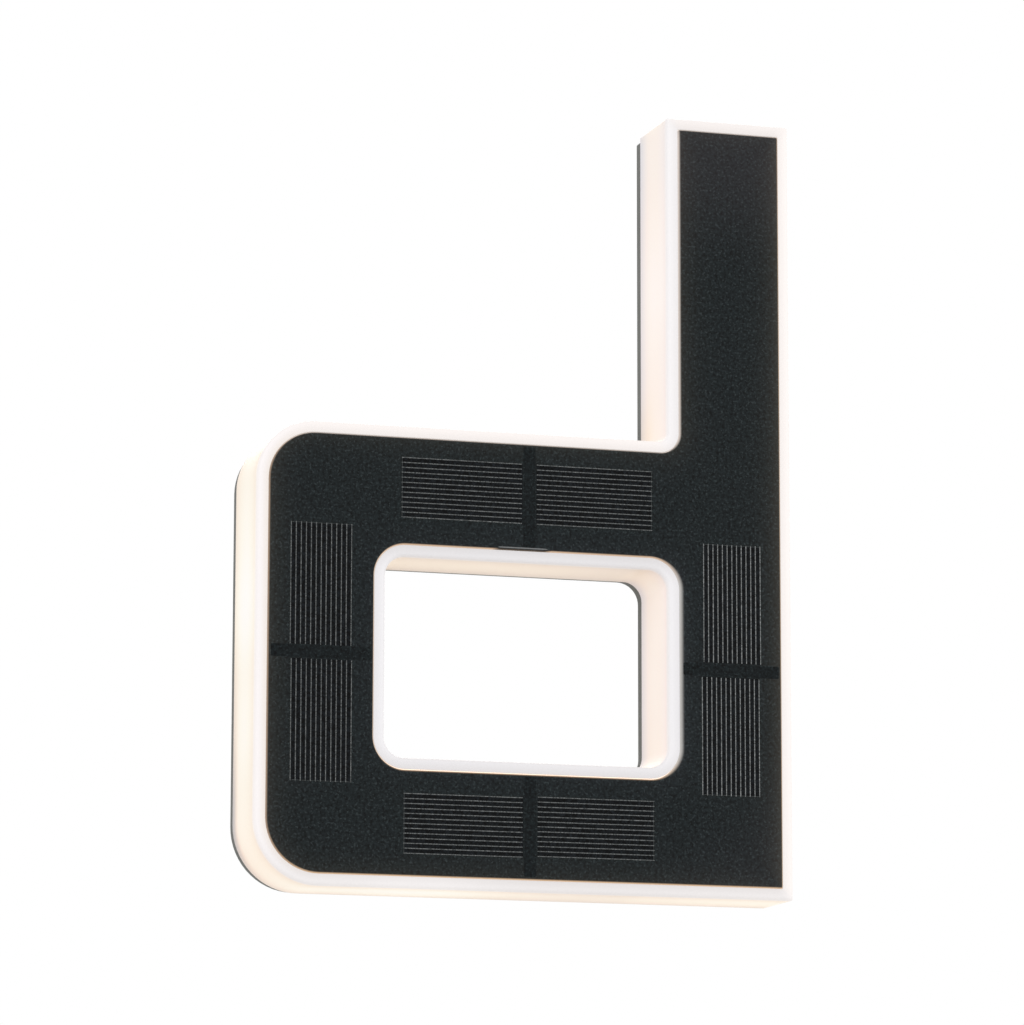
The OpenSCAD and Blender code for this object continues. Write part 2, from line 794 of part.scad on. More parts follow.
module battery_door() color(COVER) {
  difference() {
    layer(0, door_t) door_outline(door_gap);
    for (p = ear_spots) {
      layer(-over, door_t + over) translate(p) circle(d = door_screw_w + 2 * screw_gap);
      layer(-over, door_screw_head_t) translate(p) circle(d = door_screw_head_w + 2 * screw_gap);
    }
  }
}

module door_seal() color(GASKET) {
  layer(door_t, door_rebate_d) difference() {
    bay_outline(door_ledge_w - door_gap);
    bay_outline(fit_gap);
  }
}

module door_screws() color(STEEL) {
  for (p = ear_spots)
    difference() {
      screw(p, 0, door_screw_head_w, door_screw_head_t, door_screw_w, door_screw_len);
      cross_recess(p, 0, door_screw_head_w);
    }
}

module switch_body() color(CHIP) {
  difference() {
    layer(switch_d, board_d) translate([switch_x, switch_z])
      square([switch_w, switch_h], center = true);
    layer(switch_d - over, switch_d + knob_tongue_t + knob_gap) translate([switch_x, switch_z])
      square([knob_slot_w, knob_tongue_h + 2 * knob_gap], center = true);
  }
}

// The knob at its on end, with the tongue that runs in the switch
module switch_knob() color(GASKET) {
  knob_x = switch_x - switch_travel / 2;
  layer(knob_proud, switch_d - fit_gap) translate([knob_x, switch_z])
    square([knob_w, knob_h], center = true);
  layer(switch_d - switch_gap, switch_d + knob_tongue_t) translate([knob_x, switch_z])
    square([knob_w, knob_tongue_h], center = true);
}

// An insulated lead through points given as across, depth and height, with round elbows
module lead(points, w) {
  for (k = [0:len(points) - 2]) {
    a = points[k];
    b = points[k + 1];
    step = b - a;
    at(a[0], a[1], a[2]) {
      if (step[0] != 0) rotate([0, step[0] > 0 ? 90 : -90, 0]) cylinder(h = abs(step[0]), d = w);
      if (step[1] != 0) rotate([step[1] > 0 ? 90 : -90, 0, 0]) cylinder(h = abs(step[1]), d = w);
      if (step[2] != 0) rotate([step[2] > 0 ? 0 : 180, 0, 0]) cylinder(h = abs(step[2]), d = w);
    }
    if (k > 0) at(a[0], a[1], a[2]) sphere(d = elbow_share * w);
  }
}

module panel_leads() color(RED) {
  for (side = [-1, 1]) {
    x = panel_lead_x + side * lead_pair_share * lead_w / 2;
    lead([[x, board_top_d, panel_lead_z], [x, panel_rear_d, panel_lead_z]], lead_w);
  }
}

module battery_leads() color(RED) {
  x = battery_lead_x;
  lead([[x, battery_d, bay_top_z], [x, battery_d, panel_lead_z], [x, board_top_d, panel_lead_z]],
       lead_w);
  x2 = battery_lead_x + battery_lead_step;
  z2 = panel_lead_z + battery_lead_step;
  lead([[x2, battery_d, bay_z - bay_wall_t], [x2, battery_d, z2], [x2, board_top_d, z2]], lead_w);
}

// Leads that join the control board and the lamp boards in a row
module lamp_leads() color(RED) {
  foot_l = BOARDS[1][0] + solder_step;
  foot_r = BOARDS[1][0] + BOARDS[1][2] - solder_step;
  left_low = BOARDS[0][1] + solder_step;
  left_top = BOARDS[0][1] + BOARDS[0][3] - solder_step;
  top_l = BOARDS[2][0] + solder_step;
  top_r = BOARDS[2][0] + BOARDS[2][2] - solder_step;
  stem_low = BOARDS[3][1] + solder_step;
  corner_x = stroke_w - rim_inset - lead_w;
  start_x = board_x + solder_step;
  start_z = board_z + 2 * board_screw_head_w + post_inset;
  lead([[start_x, board_top_d, start_z], [start_x, lead_high_d, start_z],
        [start_x, lead_high_d, mid_foot], [foot_r, lead_high_d, mid_foot],
        [foot_r, lamp_d, mid_foot]], lead_w);
  lead([[foot_l, lamp_d, mid_foot], [foot_l, lead_low_d, mid_foot],
        [mid_left, lead_low_d, mid_foot], [mid_left, lead_low_d, left_low],
        [mid_left, lamp_d, left_low]], lead_w);
  lead([[mid_left, lamp_d, left_top], [mid_left, lead_low_d, left_top],
        [corner_x, lead_low_d, left_top], [corner_x, lead_low_d, mid_top],
        [top_l, lead_low_d, mid_top], [top_l, lamp_d, mid_top]], lead_w);
  lead([[top_r, lamp_d, mid_top], [top_r, lead_low_d, mid_top],
        [stem_board_x, lead_low_d, mid_top], [stem_board_x, lead_low_d, stem_low],
        [stem_board_x, lamp_d, stem_low]], lead_w);
}

opal_body();
rear_cover();
cover_seal();
cover_screws();
solar_board();
panel_adhesive();
cell_top_left();
cell_top_right();
cell_right_upper();
cell_right_lower();
cell_foot_right();
cell_foot_left();
cell_left_lower();
cell_left_upper();
strip_top();
strip_right();
strip_foot();
strip_left();
lamp_board_left();
lamp_board_foot();
lamp_board_top();
lamp_board_stem();
lamps_left();
lamps_foot();
lamps_top();
lamps_stem();
lamps_right();
control_board();
control_parts();
board_screws();
battery();
battery_spring();
battery_contact();
battery_door();
door_seal();
door_screws();
switch_body();
switch_knob();
panel_leads();
battery_leads();
lamp_leads();
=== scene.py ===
"""Looks of an illuminated house sign in the shape of a lower-case letter d.

The sign has an opal body lit from inside, a dark solar board let into its face, and a dark grey
cover behind it. Sizes are in millimetres, measured as in the CAD source: x across the letter from
its left side, z up from its foot, and depth forwards from the wall. One function turns them into
the shared frame, in metres.
"""

import logging
import math
from dataclasses import dataclass, field
from enum import Enum

import bpy
import numpy as np
from mathutils import Matrix, Vector
from mathutils.geometry import delaunay_2d_cdt

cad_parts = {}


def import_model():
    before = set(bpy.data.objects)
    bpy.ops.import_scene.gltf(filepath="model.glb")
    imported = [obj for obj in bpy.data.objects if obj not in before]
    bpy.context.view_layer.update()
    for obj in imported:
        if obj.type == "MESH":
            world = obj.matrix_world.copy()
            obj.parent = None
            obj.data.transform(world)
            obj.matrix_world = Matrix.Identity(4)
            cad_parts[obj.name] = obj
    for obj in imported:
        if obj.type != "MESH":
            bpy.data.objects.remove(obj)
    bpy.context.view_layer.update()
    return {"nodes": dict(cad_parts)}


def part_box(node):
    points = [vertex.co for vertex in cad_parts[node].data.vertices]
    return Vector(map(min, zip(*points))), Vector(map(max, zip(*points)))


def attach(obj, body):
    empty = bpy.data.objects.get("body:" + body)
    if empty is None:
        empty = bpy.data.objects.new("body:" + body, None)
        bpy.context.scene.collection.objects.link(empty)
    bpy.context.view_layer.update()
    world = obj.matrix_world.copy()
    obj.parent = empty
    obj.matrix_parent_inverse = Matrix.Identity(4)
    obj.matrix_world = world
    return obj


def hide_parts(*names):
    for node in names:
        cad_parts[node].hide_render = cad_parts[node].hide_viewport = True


log = logging.getLogger("sign")

MM = 0.001
# Middle of the letter and height of the hanging holes, where the shared frame has its origin
ORIGIN_X = 70.0
ORIGIN_Z = 96.0
# Distance in metres below which points are welded into one
WELD = 1e-8
# Distance in mm below which the division into triangles takes two points for one
SAME_SPOT = 1e-7
# Inner points of a sheet keep this share of their spacing from its edges
CLEAR_SHARE = 1 / 3
# Stands for the rise of a level side, which no level ray crosses
LEVEL_RISE = 1e-12
# Directions that no piece lies along, from which the sides of turned pieces and tubes start
TURN_START = (0.3, 0.5, 0.8)
TUBE_START = (0.31, 0.52, 0.79)
# Spots that are compared with the letter's sides at a time, to spare memory
SPOTS_AT_ONCE = 2000
# Angle in degrees over which an edge stays sharp
CREASE = 32.0
# Name under which the light given out is kept on a piece's points
GLOW = "glow"
# Cosine over which a side counts as facing a way
FACES_WAY = 0.5
# Place across the letter in mm from which a side that faces left is the stem's
STEM_FROM = 100.0


def place(x: np.ndarray, depth: np.ndarray, z: np.ndarray) -> np.ndarray:
    """Turns letter sizes into the shared frame: (x - 70, -depth, z - 96), in metres.

    Args:
        x: Across the letter, in mm.
        depth: Forwards from the wall, in mm.
        z: Up the letter, in mm.

    Returns:
        Points as an array whose last axis is the frame's x, y and z.
    """
    parts = np.broadcast_arrays(x - ORIGIN_X, -np.asarray(depth, float), z - ORIGIN_Z)
    return np.stack(parts, -1) * MM


def full_turn(count: int) -> np.ndarray:
    """Evenly spaced angles of one whole turn, in radians."""
    return np.linspace(0, 2 * math.pi, count, endpoint=False)


# --------------------------------------------------------------------------- outlines


@dataclass(frozen=True)
class Corner:
    """A square corner of an outline, with the radius that it is rounded to."""

    x: float
    z: float
    radius: float


@dataclass(frozen=True)
class Outline:
    """A closed outline of level and upright sides, run anticlockwise as seen from the front."""

    corners: tuple[Corner, ...]
    step: float = 2.0
    bend_points: int = 17
    least_radius: float = 0.3

    @classmethod
    def box(cls, x: tuple[float, float], z: tuple[float, float], radius: float,
            bend_points: int = 17) -> "Outline":
        """An upright rectangle with rounded corners.

        Args:
            x: Its left and right in mm.
            z: Its foot and top in mm.
            radius: Radius of its corners in mm.
            bend_points: Number of points on a corner.

        Returns:
            The outline.
        """
        (left, right), (low, high) = x, z
        spots = (left, low), (right, low), (right, high), (left, high)
        return cls(tuple(Corner(*spot, radius) for spot in spots), bend_points=bend_points)

    def loop(self, inset: float) -> np.ndarray:
        """Points of the outline moved inwards by inset, as many for every inset.

        A side moves along its inward normal. At a corner between the directions u and v, with
        radius r, the bend runs through c - v r cos t + u r sin t for t from 0 to a quarter turn,
        about c = corner - u r + v r. Outer corners lose the inset from r and inner ones gain it.

        Args:
            inset: How far the sides move inwards, in mm. A negative one moves them out.

        Returns:
            An (n, 2) array of x and z in mm.
        """
        spots = np.array([(c.x, c.z) for c in self.corners])
        ahead = np.roll(spots, -1, 0) - spots
        lengths = np.abs(ahead).sum(1)
        v = ahead / lengths[:, None]
        u = np.roll(v, 1, 0)
        inward = np.stack([-u[:, 1], u[:, 0]], 1) + np.stack([-v[:, 1], v[:, 0]], 1)
        moved = spots + inset * inward
        outer = u[:, 0] * v[:, 1] - u[:, 1] * v[:, 0] > 0
        given = np.array([c.radius for c in self.corners])
        r = np.where(outer, np.maximum(given - inset, self.least_radius), given + inset)[:, None]
        centre = moved - u * r + v * r
        t = np.linspace(0, math.pi / 2, self.bend_points)[None, :, None]
        r, uu, vv = r[:, None], u[:, None], v[:, None]
        bends = centre[:, None] - vv * r * np.cos(t) + uu * r * np.sin(t)
        counts = np.maximum((lengths / self.step).astype(int), 2)
        starts, ends = bends[:, -1], np.roll(bends[:, 0], -1, 0)
        runs = [np.concatenate([bends[k], self._run(starts[k], ends[k], counts[k])])
                for k in range(len(spots))]
        return np.concatenate(runs)

    @staticmethod
    def _run(start: np.ndarray, end: np.ndarray, count: int) -> np.ndarray:
        """Points between the ends of a straight side, without the ends themselves."""
        share = np.linspace(0, 1, count + 1)[1:-1, None]
        return start + share * (end - start)


def inside(points: np.ndarray, loop: np.ndarray) -> np.ndarray:
    """Tells which points lie inside a loop, by counting the sides that a level ray crosses.

    Args:
        points: (n, 2) array.
        loop: (m, 2) array.

    Returns:
        A boolean array of n values.
    """
    a, b = loop, np.roll(loop, -1, 0)
    x, z = points[:, 0, None], points[:, 1, None]
    over = (a[:, 1] > z) != (b[:, 1] > z)
    rise = np.where(b[:, 1] == a[:, 1], LEVEL_RISE, b[:, 1] - a[:, 1])
    at = a[:, 0] + (z - a[:, 1]) / rise * (b[:, 0] - a[:, 0])
    return (over & (x < at)).sum(1) % 2 == 1


# --------------------------------------------------------------------------- surfaces


@dataclass
class Skin:
    """The closed surface of a piece, gathered as arrays of points and faces."""

    points: list[np.ndarray] = field(default_factory=list)
    faces: list[np.ndarray] = field(default_factory=list)
    finishes: list[np.ndarray] = field(default_factory=list)
    count: int = 0

    def add(self, points: np.ndarray, faces: np.ndarray, finish: int = 0) -> None:
        """Adds points and their faces as one finish.

        Args:
            points: Points in the shared frame, in metres.
            faces: Faces of three or four of them, by number.
            finish: Number of the finish.
        """
        self.points.append(points.reshape(-1, 3))
        self.faces.append(faces + self.count)
        self.finishes.append(np.full(len(faces), finish))
        self.count += self.points[-1].shape[0]

    def grid(self, points: np.ndarray, finish: int = 0, around: bool = True,
             closed: bool = False) -> None:
        """Adds the four-sided faces of a grid of points.

        Args:
            points: (rows, columns, 3) array in the shared frame.
            finish: Number of the finish.
            around: Whether the last column joins the first.
            closed: Whether the last row joins the first.
        """
        rows, cols = points.shape[:2]
        i = np.arange(rows if closed else rows - 1)[:, None]
        j = np.arange(cols if around else cols - 1)[None, :]
        down, right = (i + 1) % rows, (j + 1) % cols
        quads = np.stack(np.broadcast_arrays(
            i * cols + j, i * cols + right, down * cols + right, down * cols + j), -1)
        self.add(points, quads.reshape(-1, 4), finish)

    def sweep(self, outline: Outline, section: np.ndarray, sign: int = 1,
              closed: bool = False) -> None:
        """Carries a section of (inset, depth) pairs along an outline: row k is loop(inset k).

        Args:
            outline: The outline to follow.
            section: (rows, 2) array of inset and depth in mm.
            sign: 1 where the piece lies inside the outline, -1 where it lies outside.
            closed: Whether the section's end joins its start.
        """
        loops = np.stack([outline.loop(sign * inset) for inset in section[:, 0]])
        self.grid(place(loops[..., 0], section[:, 1:], loops[..., 1]), closed=closed)

    def wall(self, *rings: tuple[np.ndarray, float]) -> None:
        """Joins closed loops in mm that stand at their own depths, in the given order."""
        self.grid(np.stack([place(loop[:, 0], depth, loop[:, 1]) for loop, depth in rings]))

    def sheet(self, loops: list[np.ndarray], depth: float, spacing: float = 0.0,
              forwards: bool = True) -> None:
        """Fills the flat region inside the first loop and outside the others with triangles.

        The triangles are a Delaunay division held to the loops. A spacing adds inner points on a
        square grid, so that a colour kept on the points can change across the sheet.

        Args:
            loops: Outer loop and then holes, each an (n, 2) array in mm.
            depth: Depth of the sheet in mm.
            spacing: Distance of the inner points in mm, or 0 for none.
            forwards: Whether the sheet faces away from the wall.
        """
        edges, start = [], 0
        for loop in loops:
            k = np.arange(len(loop))
            edges.append(np.stack([k, np.roll(k, -1)], 1) + start)
            start += len(loop)
        points = np.concatenate(loops)
        if spacing:
            low, high = loops[0].min(0), loops[0].max(0)
            x, z = np.meshgrid(np.arange(low[0], high[0], spacing),
                               np.arange(low[1], high[1], spacing))
            extra = np.stack([x.ravel(), z.ravel()], 1)
            apart = np.linalg.norm(extra[:, None] - points[None], axis=2).min(1)
            clear = self._within(extra, loops) & (apart > spacing * CLEAR_SHARE)
            points = np.concatenate([points, extra[clear]])
        cut = delaunay_2d_cdt(points.tolist(), np.concatenate(edges).tolist(), [], 0, SAME_SPOT)
        flat = np.array([tuple(p) for p in cut[0]])
        triangles = np.array([f for f in cut[2] if len(f) == 3])
        triangles = triangles[self._within(flat[triangles].mean(1), loops)]
        a, b, c = (flat[triangles[:, k]] for k in range(3))
        left = ((b - a)[:, 0] * (c - a)[:, 1] - (b - a)[:, 1] * (c - a)[:, 0]) > 0
        turned = np.where((left == forwards)[:, None], triangles, triangles[:, ::-1])
        self.add(place(flat[:, 0], depth, flat[:, 1]), turned)

    @staticmethod
    def _within(points: np.ndarray, loops: list[np.ndarray]) -> np.ndarray:
        """Tells which points lie inside the first loop and outside the others.

        Args:
            points: Places across and up the letter in mm.
            loops: The rim and the holes in mm.

        Returns:
            True for each point that does.
        """
        found = inside(points, loops[0])
        for hole in loops[1:]:
            found &= ~inside(points, hole)
        return found

    def revolve(self, profile: np.ndarray, start: np.ndarray, axis: np.ndarray,
                sides: int = 40, finish: int = 0) -> None:
        """Turns a profile of (along, radius) pairs about a line: start + along axis + r (a cos t
        + b sin t), where a and b are square to the axis. Radius 0 at both ends closes it.

        Args:
            profile: (rows, 2) array in mm.
            start: Start of the line in the shared frame, in metres.
            axis: Direction of the line.
            sides: Number of sides.
            finish: Number of the finish.
        """
        w = np.asarray(axis, float) / np.linalg.norm(axis)
        a = np.cross(w, TURN_START)
        a /= np.linalg.norm(a)
        b = np.cross(w, a)
        t = full_turn(sides)[None, :, None]
        along, r = profile[:, 0, None, None] * MM, profile[:, 1, None, None] * MM
        self.grid(start + along * w + r * (a * np.cos(t) + b * np.sin(t)), finish)

    def tube(self, path: np.ndarray, width: float, sides: int = 14) -> None:
        """Carries a circle along a path and closes both ends with a point.

        The circle stands square to the path. Its first side vector is carried along by taking
        out of it, at each point, what lies along the path, so the tube doesn't twist.

        Args:
            path: (n, 3) array in the shared frame, in metres.
            width: Diameter in mm.
            sides: Number of sides.
        """
        along = np.gradient(path, axis=0)
        along /= np.linalg.norm(along, axis=1)[:, None]
        side = np.cross(along[0], TUBE_START)
        a = np.zeros_like(along)
        for k, w in enumerate(along):
            side = side - w * (side @ w)
            side = side / np.linalg.norm(side)
            a[k] = side
        b = np.cross(along, a)
        t = full_turn(sides)[None, :, None]
        rings = path[:, None] + width / 2 * MM * (a[:, None] * np.cos(t) + b[:, None] * np.sin(t))
        ends = [np.repeat(path[[k]][:, None], sides, 1) for k in (0, -1)]
        self.grid(np.concatenate([ends[0], rings, ends[1]]))

    def build(self, name: str, materials: list[bpy.types.Material]) -> bpy.types.Object:
        """Makes the mesh object: welds equal points, drops faces without area, turns all faces
        outwards by the sign of the enclosed volume, and smooths below the crease angle.

        Args:
            name: Name of the piece.
            materials: Its finishes, by number.

        Returns:
            The object, at the origin, with its place in its mesh.
        """
        points = np.concatenate(self.points)
        _, first, same = np.unique(np.round(points / WELD).astype(np.int64), axis=0,
                                   return_index=True, return_inverse=True)
        same = same.ravel()
        welded = points[first]
        faces = [tuple(dict.fromkeys(face)) for block in self.faces
                 for face in same[block].tolist()]
        finishes = np.concatenate(self.finishes).tolist()
        kept = [(face, finish) for face, finish in zip(faces, finishes) if len(face) > 2]
        mesh = bpy.data.meshes.new(name)
        mesh.from_pydata(welded.tolist(), [], [face for face, _ in kept])
        mesh.polygons.foreach_set("material_index", [finish for _, finish in kept])
        mesh.update()
        mesh.calc_loop_triangles()
        corners = np.zeros(len(mesh.loop_triangles) * 3, np.int32)
        mesh.loop_triangles.foreach_get("vertices", corners)
        a, b, c = (welded[corners.reshape(-1, 3)[:, k]] for k in range(3))
        if np.einsum("ij,ij->", a, np.cross(b, c)) < 0:
            mesh.flip_normals()
        mesh.shade_smooth()
        mesh.set_sharp_from_angle(angle=math.radians(CREASE))
        for material in materials:
            mesh.materials.append(material)
        made = bpy.data.objects.new(name, mesh)
        bpy.context.scene.collection.objects.link(made)
        return made


def keep_glow(piece: bpy.types.Object, colour: np.ndarray) -> None:
    """Keeps the light that a piece's points give out.

    Args:
        piece: The piece.
        colour: (n, 3) array of linear colours.
    """
    layer = piece.data.color_attributes.new(name=GLOW, type="FLOAT_COLOR", domain="POINT")
    rgba = np.concatenate([colour, np.ones((len(colour), 1))], 1)
    layer.data.foreach_set("color", rgba.astype(np.float32).ravel())


# --------------------------------------------------------------------------- finishes


# Sockets of a node that mixes colours: the two colours and the result
MIX_FIRST, MIX_SECOND, MIX_RESULT = 6, 7, 2
# Noise levels between which the gloss goes from one end of its spread to the other
CLOUD_ENDS = (0.3, 0.7)
NOISE_ROUGHNESS = 0.55


def linear(code: str) -> tuple[float, float, float, float]:
    """Turns an sRGB hex code into linear light, by the curve that sRGB lays down.

    Args:
        code: A code such as '#8a8b87'.

    Returns:
        Red, green and blue, and alpha 1.
    """
    parts = [int(code[k:k + 2], 16) / 255 for k in (1, 3, 5)]
    lit = [p / 12.92 if p <= 0.04045 else ((p + 0.055) / 1.055) ** 2.4 for p in parts]
    return (*lit, 1.0)


def add_node(tree: bpy.types.NodeTree, kind: str, links: dict | None = None,
             values: dict | None = None, **settings: object) -> bpy.types.Node:
    """Adds a node with its settings, its fixed inputs and its links.

    Args:
        tree: The node tree.
        kind: Blender's name for the kind of node.
        links: Output socket for each linked input.
        values: Value for each fixed input.
        settings: Properties of the node itself.

    Returns:
        The new node.
    """
    node = tree.nodes.new(kind)
    for name, value in settings.items():
        setattr(node, name, value)
    for name, value in (values or {}).items():
        node.inputs[name].default_value = value
    for name, socket in (links or {}).items():
        tree.links.new(socket, node.inputs[name])
    return node


@dataclass(frozen=True)
class Finish:
    """A finish with a grain: two tones mixed by a noise, and a fine relief.

    Attributes:
        name: Common name of the material and how its surface was made.
        tone: Main sRGB colour.
        other: Second sRGB colour, which the grain mixes in.
        roughness: Roughness at the middle of its spread.
        spread: How far roughness goes up and down with the slow noise.
        grain: Size of the grain in mm.
        relief: Height of the grain's relief in mm.
        cloud: Size of the slow change of gloss and tone in mm.
        ior: Index of refraction.
        specular: Specular level of the shader.
        metallic: 1 for a metal.
        low: Noise level up to which the main tone shows alone.
        high: Noise level from which the second tone shows alone.
    """

    name: str
    tone: str
    other: str
    roughness: float = 0.5
    spread: float = 0.06
    grain: float = 0.35
    relief: float = 0.012
    cloud: float = 18.0
    ior: float = 1.5
    specular: float = 0.5
    metallic: float = 0.0
    low: float = 0.3
    high: float = 0.7

    def material(self) -> bpy.types.Material:
        """Makes the material, unless it was made before.

        Returns:
            The material.
        """
        made = bpy.data.materials.get(self.name)
        if made is not None:
            return made
        made = bpy.data.materials.new(self.name)
        made.use_nodes = True
        tree = made.node_tree
        tree.nodes.clear()
        spots = add_node(tree, "ShaderNodeTexCoord").outputs["Object"]
        shader = add_node(tree, "ShaderNodeBsdfPrincipled", values={
            "Metallic": self.metallic, "IOR": self.ior,
            "Specular IOR Level": self.specular})
        self.dress(tree, shader, spots)
        add_node(tree, "ShaderNodeOutputMaterial", {"Surface": shader.outputs["BSDF"]})
        return made

    def noise(self, tree: bpy.types.NodeTree, spots: bpy.types.NodeSocket, size: float,
              detail: float = 2.0) -> bpy.types.NodeSocket:
        """Adds noise with lumps of one size.

        Args:
            tree: The material's node tree.
            spots: Object coordinates.
            size: Width of a lump in mm.
            detail: How many finer layers lie over it.

        Returns:
            The noise, from 0 to 1.
        """
        node = add_node(tree, "ShaderNodeTexNoise", {"Vector": spots},
                        {"Scale": 1 / (size * MM), "Detail": detail,
                         "Roughness": NOISE_ROUGHNESS})
        return node.outputs["Fac"]

    def blend(self, tree: bpy.types.NodeTree, value: bpy.types.NodeSocket,
              ends: tuple[float, float], second: str) -> bpy.types.Node:
        """Adds a node that mixes in a second colour as a value rises from end to end.

        Args:
            tree: The material's node tree.
            value: The value, such as a noise.
            ends: Values at which the first colour and the second one show alone.
            second: sRGB hex code of the second colour.

        Returns:
            The node, whose first colour is still to be given.
        """
        share = add_node(tree, "ShaderNodeMapRange", {"Value": value},
                         {"From Min": ends[0], "From Max": ends[1]})
        return add_node(tree, "ShaderNodeMix", {"Factor": share.outputs["Result"]},
                        {MIX_SECOND: linear(second)}, data_type="RGBA")

    def dress(self, tree: bpy.types.NodeTree, shader: bpy.types.Node,
              spots: bpy.types.NodeSocket) -> None:
        """Links colour, roughness and relief to the shader.

        Args:
            tree: The material's node tree.
            shader: Its main shader.
            spots: Object coordinates.
        """
        grain = self.noise(tree, spots, self.grain)
        cloud = self.noise(tree, spots, self.cloud)
        tone = self.blend(tree, grain, (self.low, self.high), self.other)
        tone.inputs[MIX_FIRST].default_value = linear(self.tone)
        self.tint(tree, shader, spots, tone.outputs[MIX_RESULT])
        gloss = add_node(tree, "ShaderNodeMapRange", {"Value": cloud}, {
            "From Min": CLOUD_ENDS[0], "From Max": CLOUD_ENDS[1],
            "To Min": self.roughness - self.spread, "To Max": self.roughness + self.spread})
        tree.links.new(gloss.outputs["Result"], shader.inputs["Roughness"])
        bump = add_node(tree, "ShaderNodeBump", {"Height": grain},
                        {"Strength": 1.0, "Distance": self.relief * MM})
        tree.links.new(bump.outputs["Normal"], shader.inputs["Normal"])

    def tint(self, tree: bpy.types.NodeTree, shader: bpy.types.Node,
             spots: bpy.types.NodeSocket, tone: bpy.types.NodeSocket) -> None:
        """Links the grain's colour to the shader as it is."""
        tree.links.new(tone, shader.inputs["Base Color"])


@dataclass(frozen=True)
class LitFinish(Finish):
    """A finish that also gives out the light kept on the piece's points as a colour."""

    strength: float = 1.0

    def tint(self, tree: bpy.types.NodeTree, shader: bpy.types.Node,
             spots: bpy.types.NodeSocket, tone: bpy.types.NodeSocket) -> None:
        """Links the grain's colour, and the kept colour as given-out light.

        Args:
            tree: The material's node tree.
            shader: Its shader.
            spots: Object coordinates.
            tone: The grain's colour.
        """
        super().tint(tree, shader, spots, tone)
        light = add_node(tree, "ShaderNodeVertexColor", layer_name=GLOW)
        tree.links.new(light.outputs["Color"], shader.inputs["Emission Color"])
        shader.inputs["Emission Strength"].default_value = self.strength


@dataclass(frozen=True)
class CoatedBoard(LitFinish):
    """A laminate seen through its resin coat, with sparse pale flecks of glass."""

    fleck: str = "#2e3537"
    fleck_size: float = 0.6
    fleck_share: float = 0.56
    fleck_soft: float = 0.16

    def tint(self, tree: bpy.types.NodeTree, shader: bpy.types.Node,
             spots: bpy.types.NodeSocket, tone: bpy.types.NodeSocket) -> None:
        """Mixes in the flecks where a fine noise is high, then adds the kept light.

        Args:
            tree: The material's node tree.
            shader: Its shader.
            spots: Object coordinates.
            tone: The grain's colour.
        """
        fine = self.noise(tree, spots, self.fleck_size, detail=1.0)
        ends = self.fleck_share, self.fleck_share + self.fleck_soft
        mixed = self.blend(tree, fine, ends, self.fleck)
        tree.links.new(tone, mixed.inputs[MIX_FIRST])
        super().tint(tree, shader, spots, mixed.outputs[MIX_RESULT])


@dataclass(frozen=True)
class GlowingFinish(Finish):
    """A finish that gives out one even light, as a lit lamp does."""

    glow: str = "#ffd9a0"
    strength: float = 1.0

    def tint(self, tree: bpy.types.NodeTree, shader: bpy.types.Node,
             spots: bpy.types.NodeSocket, tone: bpy.types.NodeSocket) -> None:
        """Links the grain's colour and sets the even light.

        Args:
            tree: The material's node tree.
            shader: Its shader.
            spots: Object coordinates.
            tone: The grain's colour.
        """
        super().tint(tree, shader, spots, tone)
        shader.inputs["Emission Color"].default_value = linear(self.glow)
        shader.inputs["Emission Strength"].default_value = self.strength


@dataclass(frozen=True)
class TracedBoard(Finish):
    """A solder mask over copper lines, which show as slightly paler bands under it.

    The pitch is in mm, the edge in levels of the wave, and the turns are the bands that the wave
    node draws in one unit of length.
    """

    trace: str = "#1e6a3c"
    pitch: float = 2.6
    bend: float = 3.0
    bend_size: float = 0.6
    edge: tuple[float, float] = (0.72, 0.78)
    turns: float = 6.3

    def tint(self, tree: bpy.types.NodeTree, shader: bpy.types.Node,
             spots: bpy.types.NodeSocket, tone: bpy.types.NodeSocket) -> None:
        """Mixes in the copper's tone along bent bands that are a pitch apart.

        Args:
            tree: The material's node tree.
            shader: Its shader.
            spots: Object coordinates.
            tone: The grain's colour.
        """
        wave = add_node(tree, "ShaderNodeTexWave", {"Vector": spots}, {
            "Scale": 1 / (self.pitch * MM) / self.turns, "Distortion": self.bend,
            "Detail": 1.0, "Detail Scale": self.bend_size}, bands_direction="DIAGONAL")
        mixed = self.blend(tree, wave.outputs["Fac"], self.edge, self.trace)
        tree.links.new(tone, mixed.inputs[MIX_FIRST])
        super().tint(tree, shader, spots, mixed.outputs[MIX_RESULT])


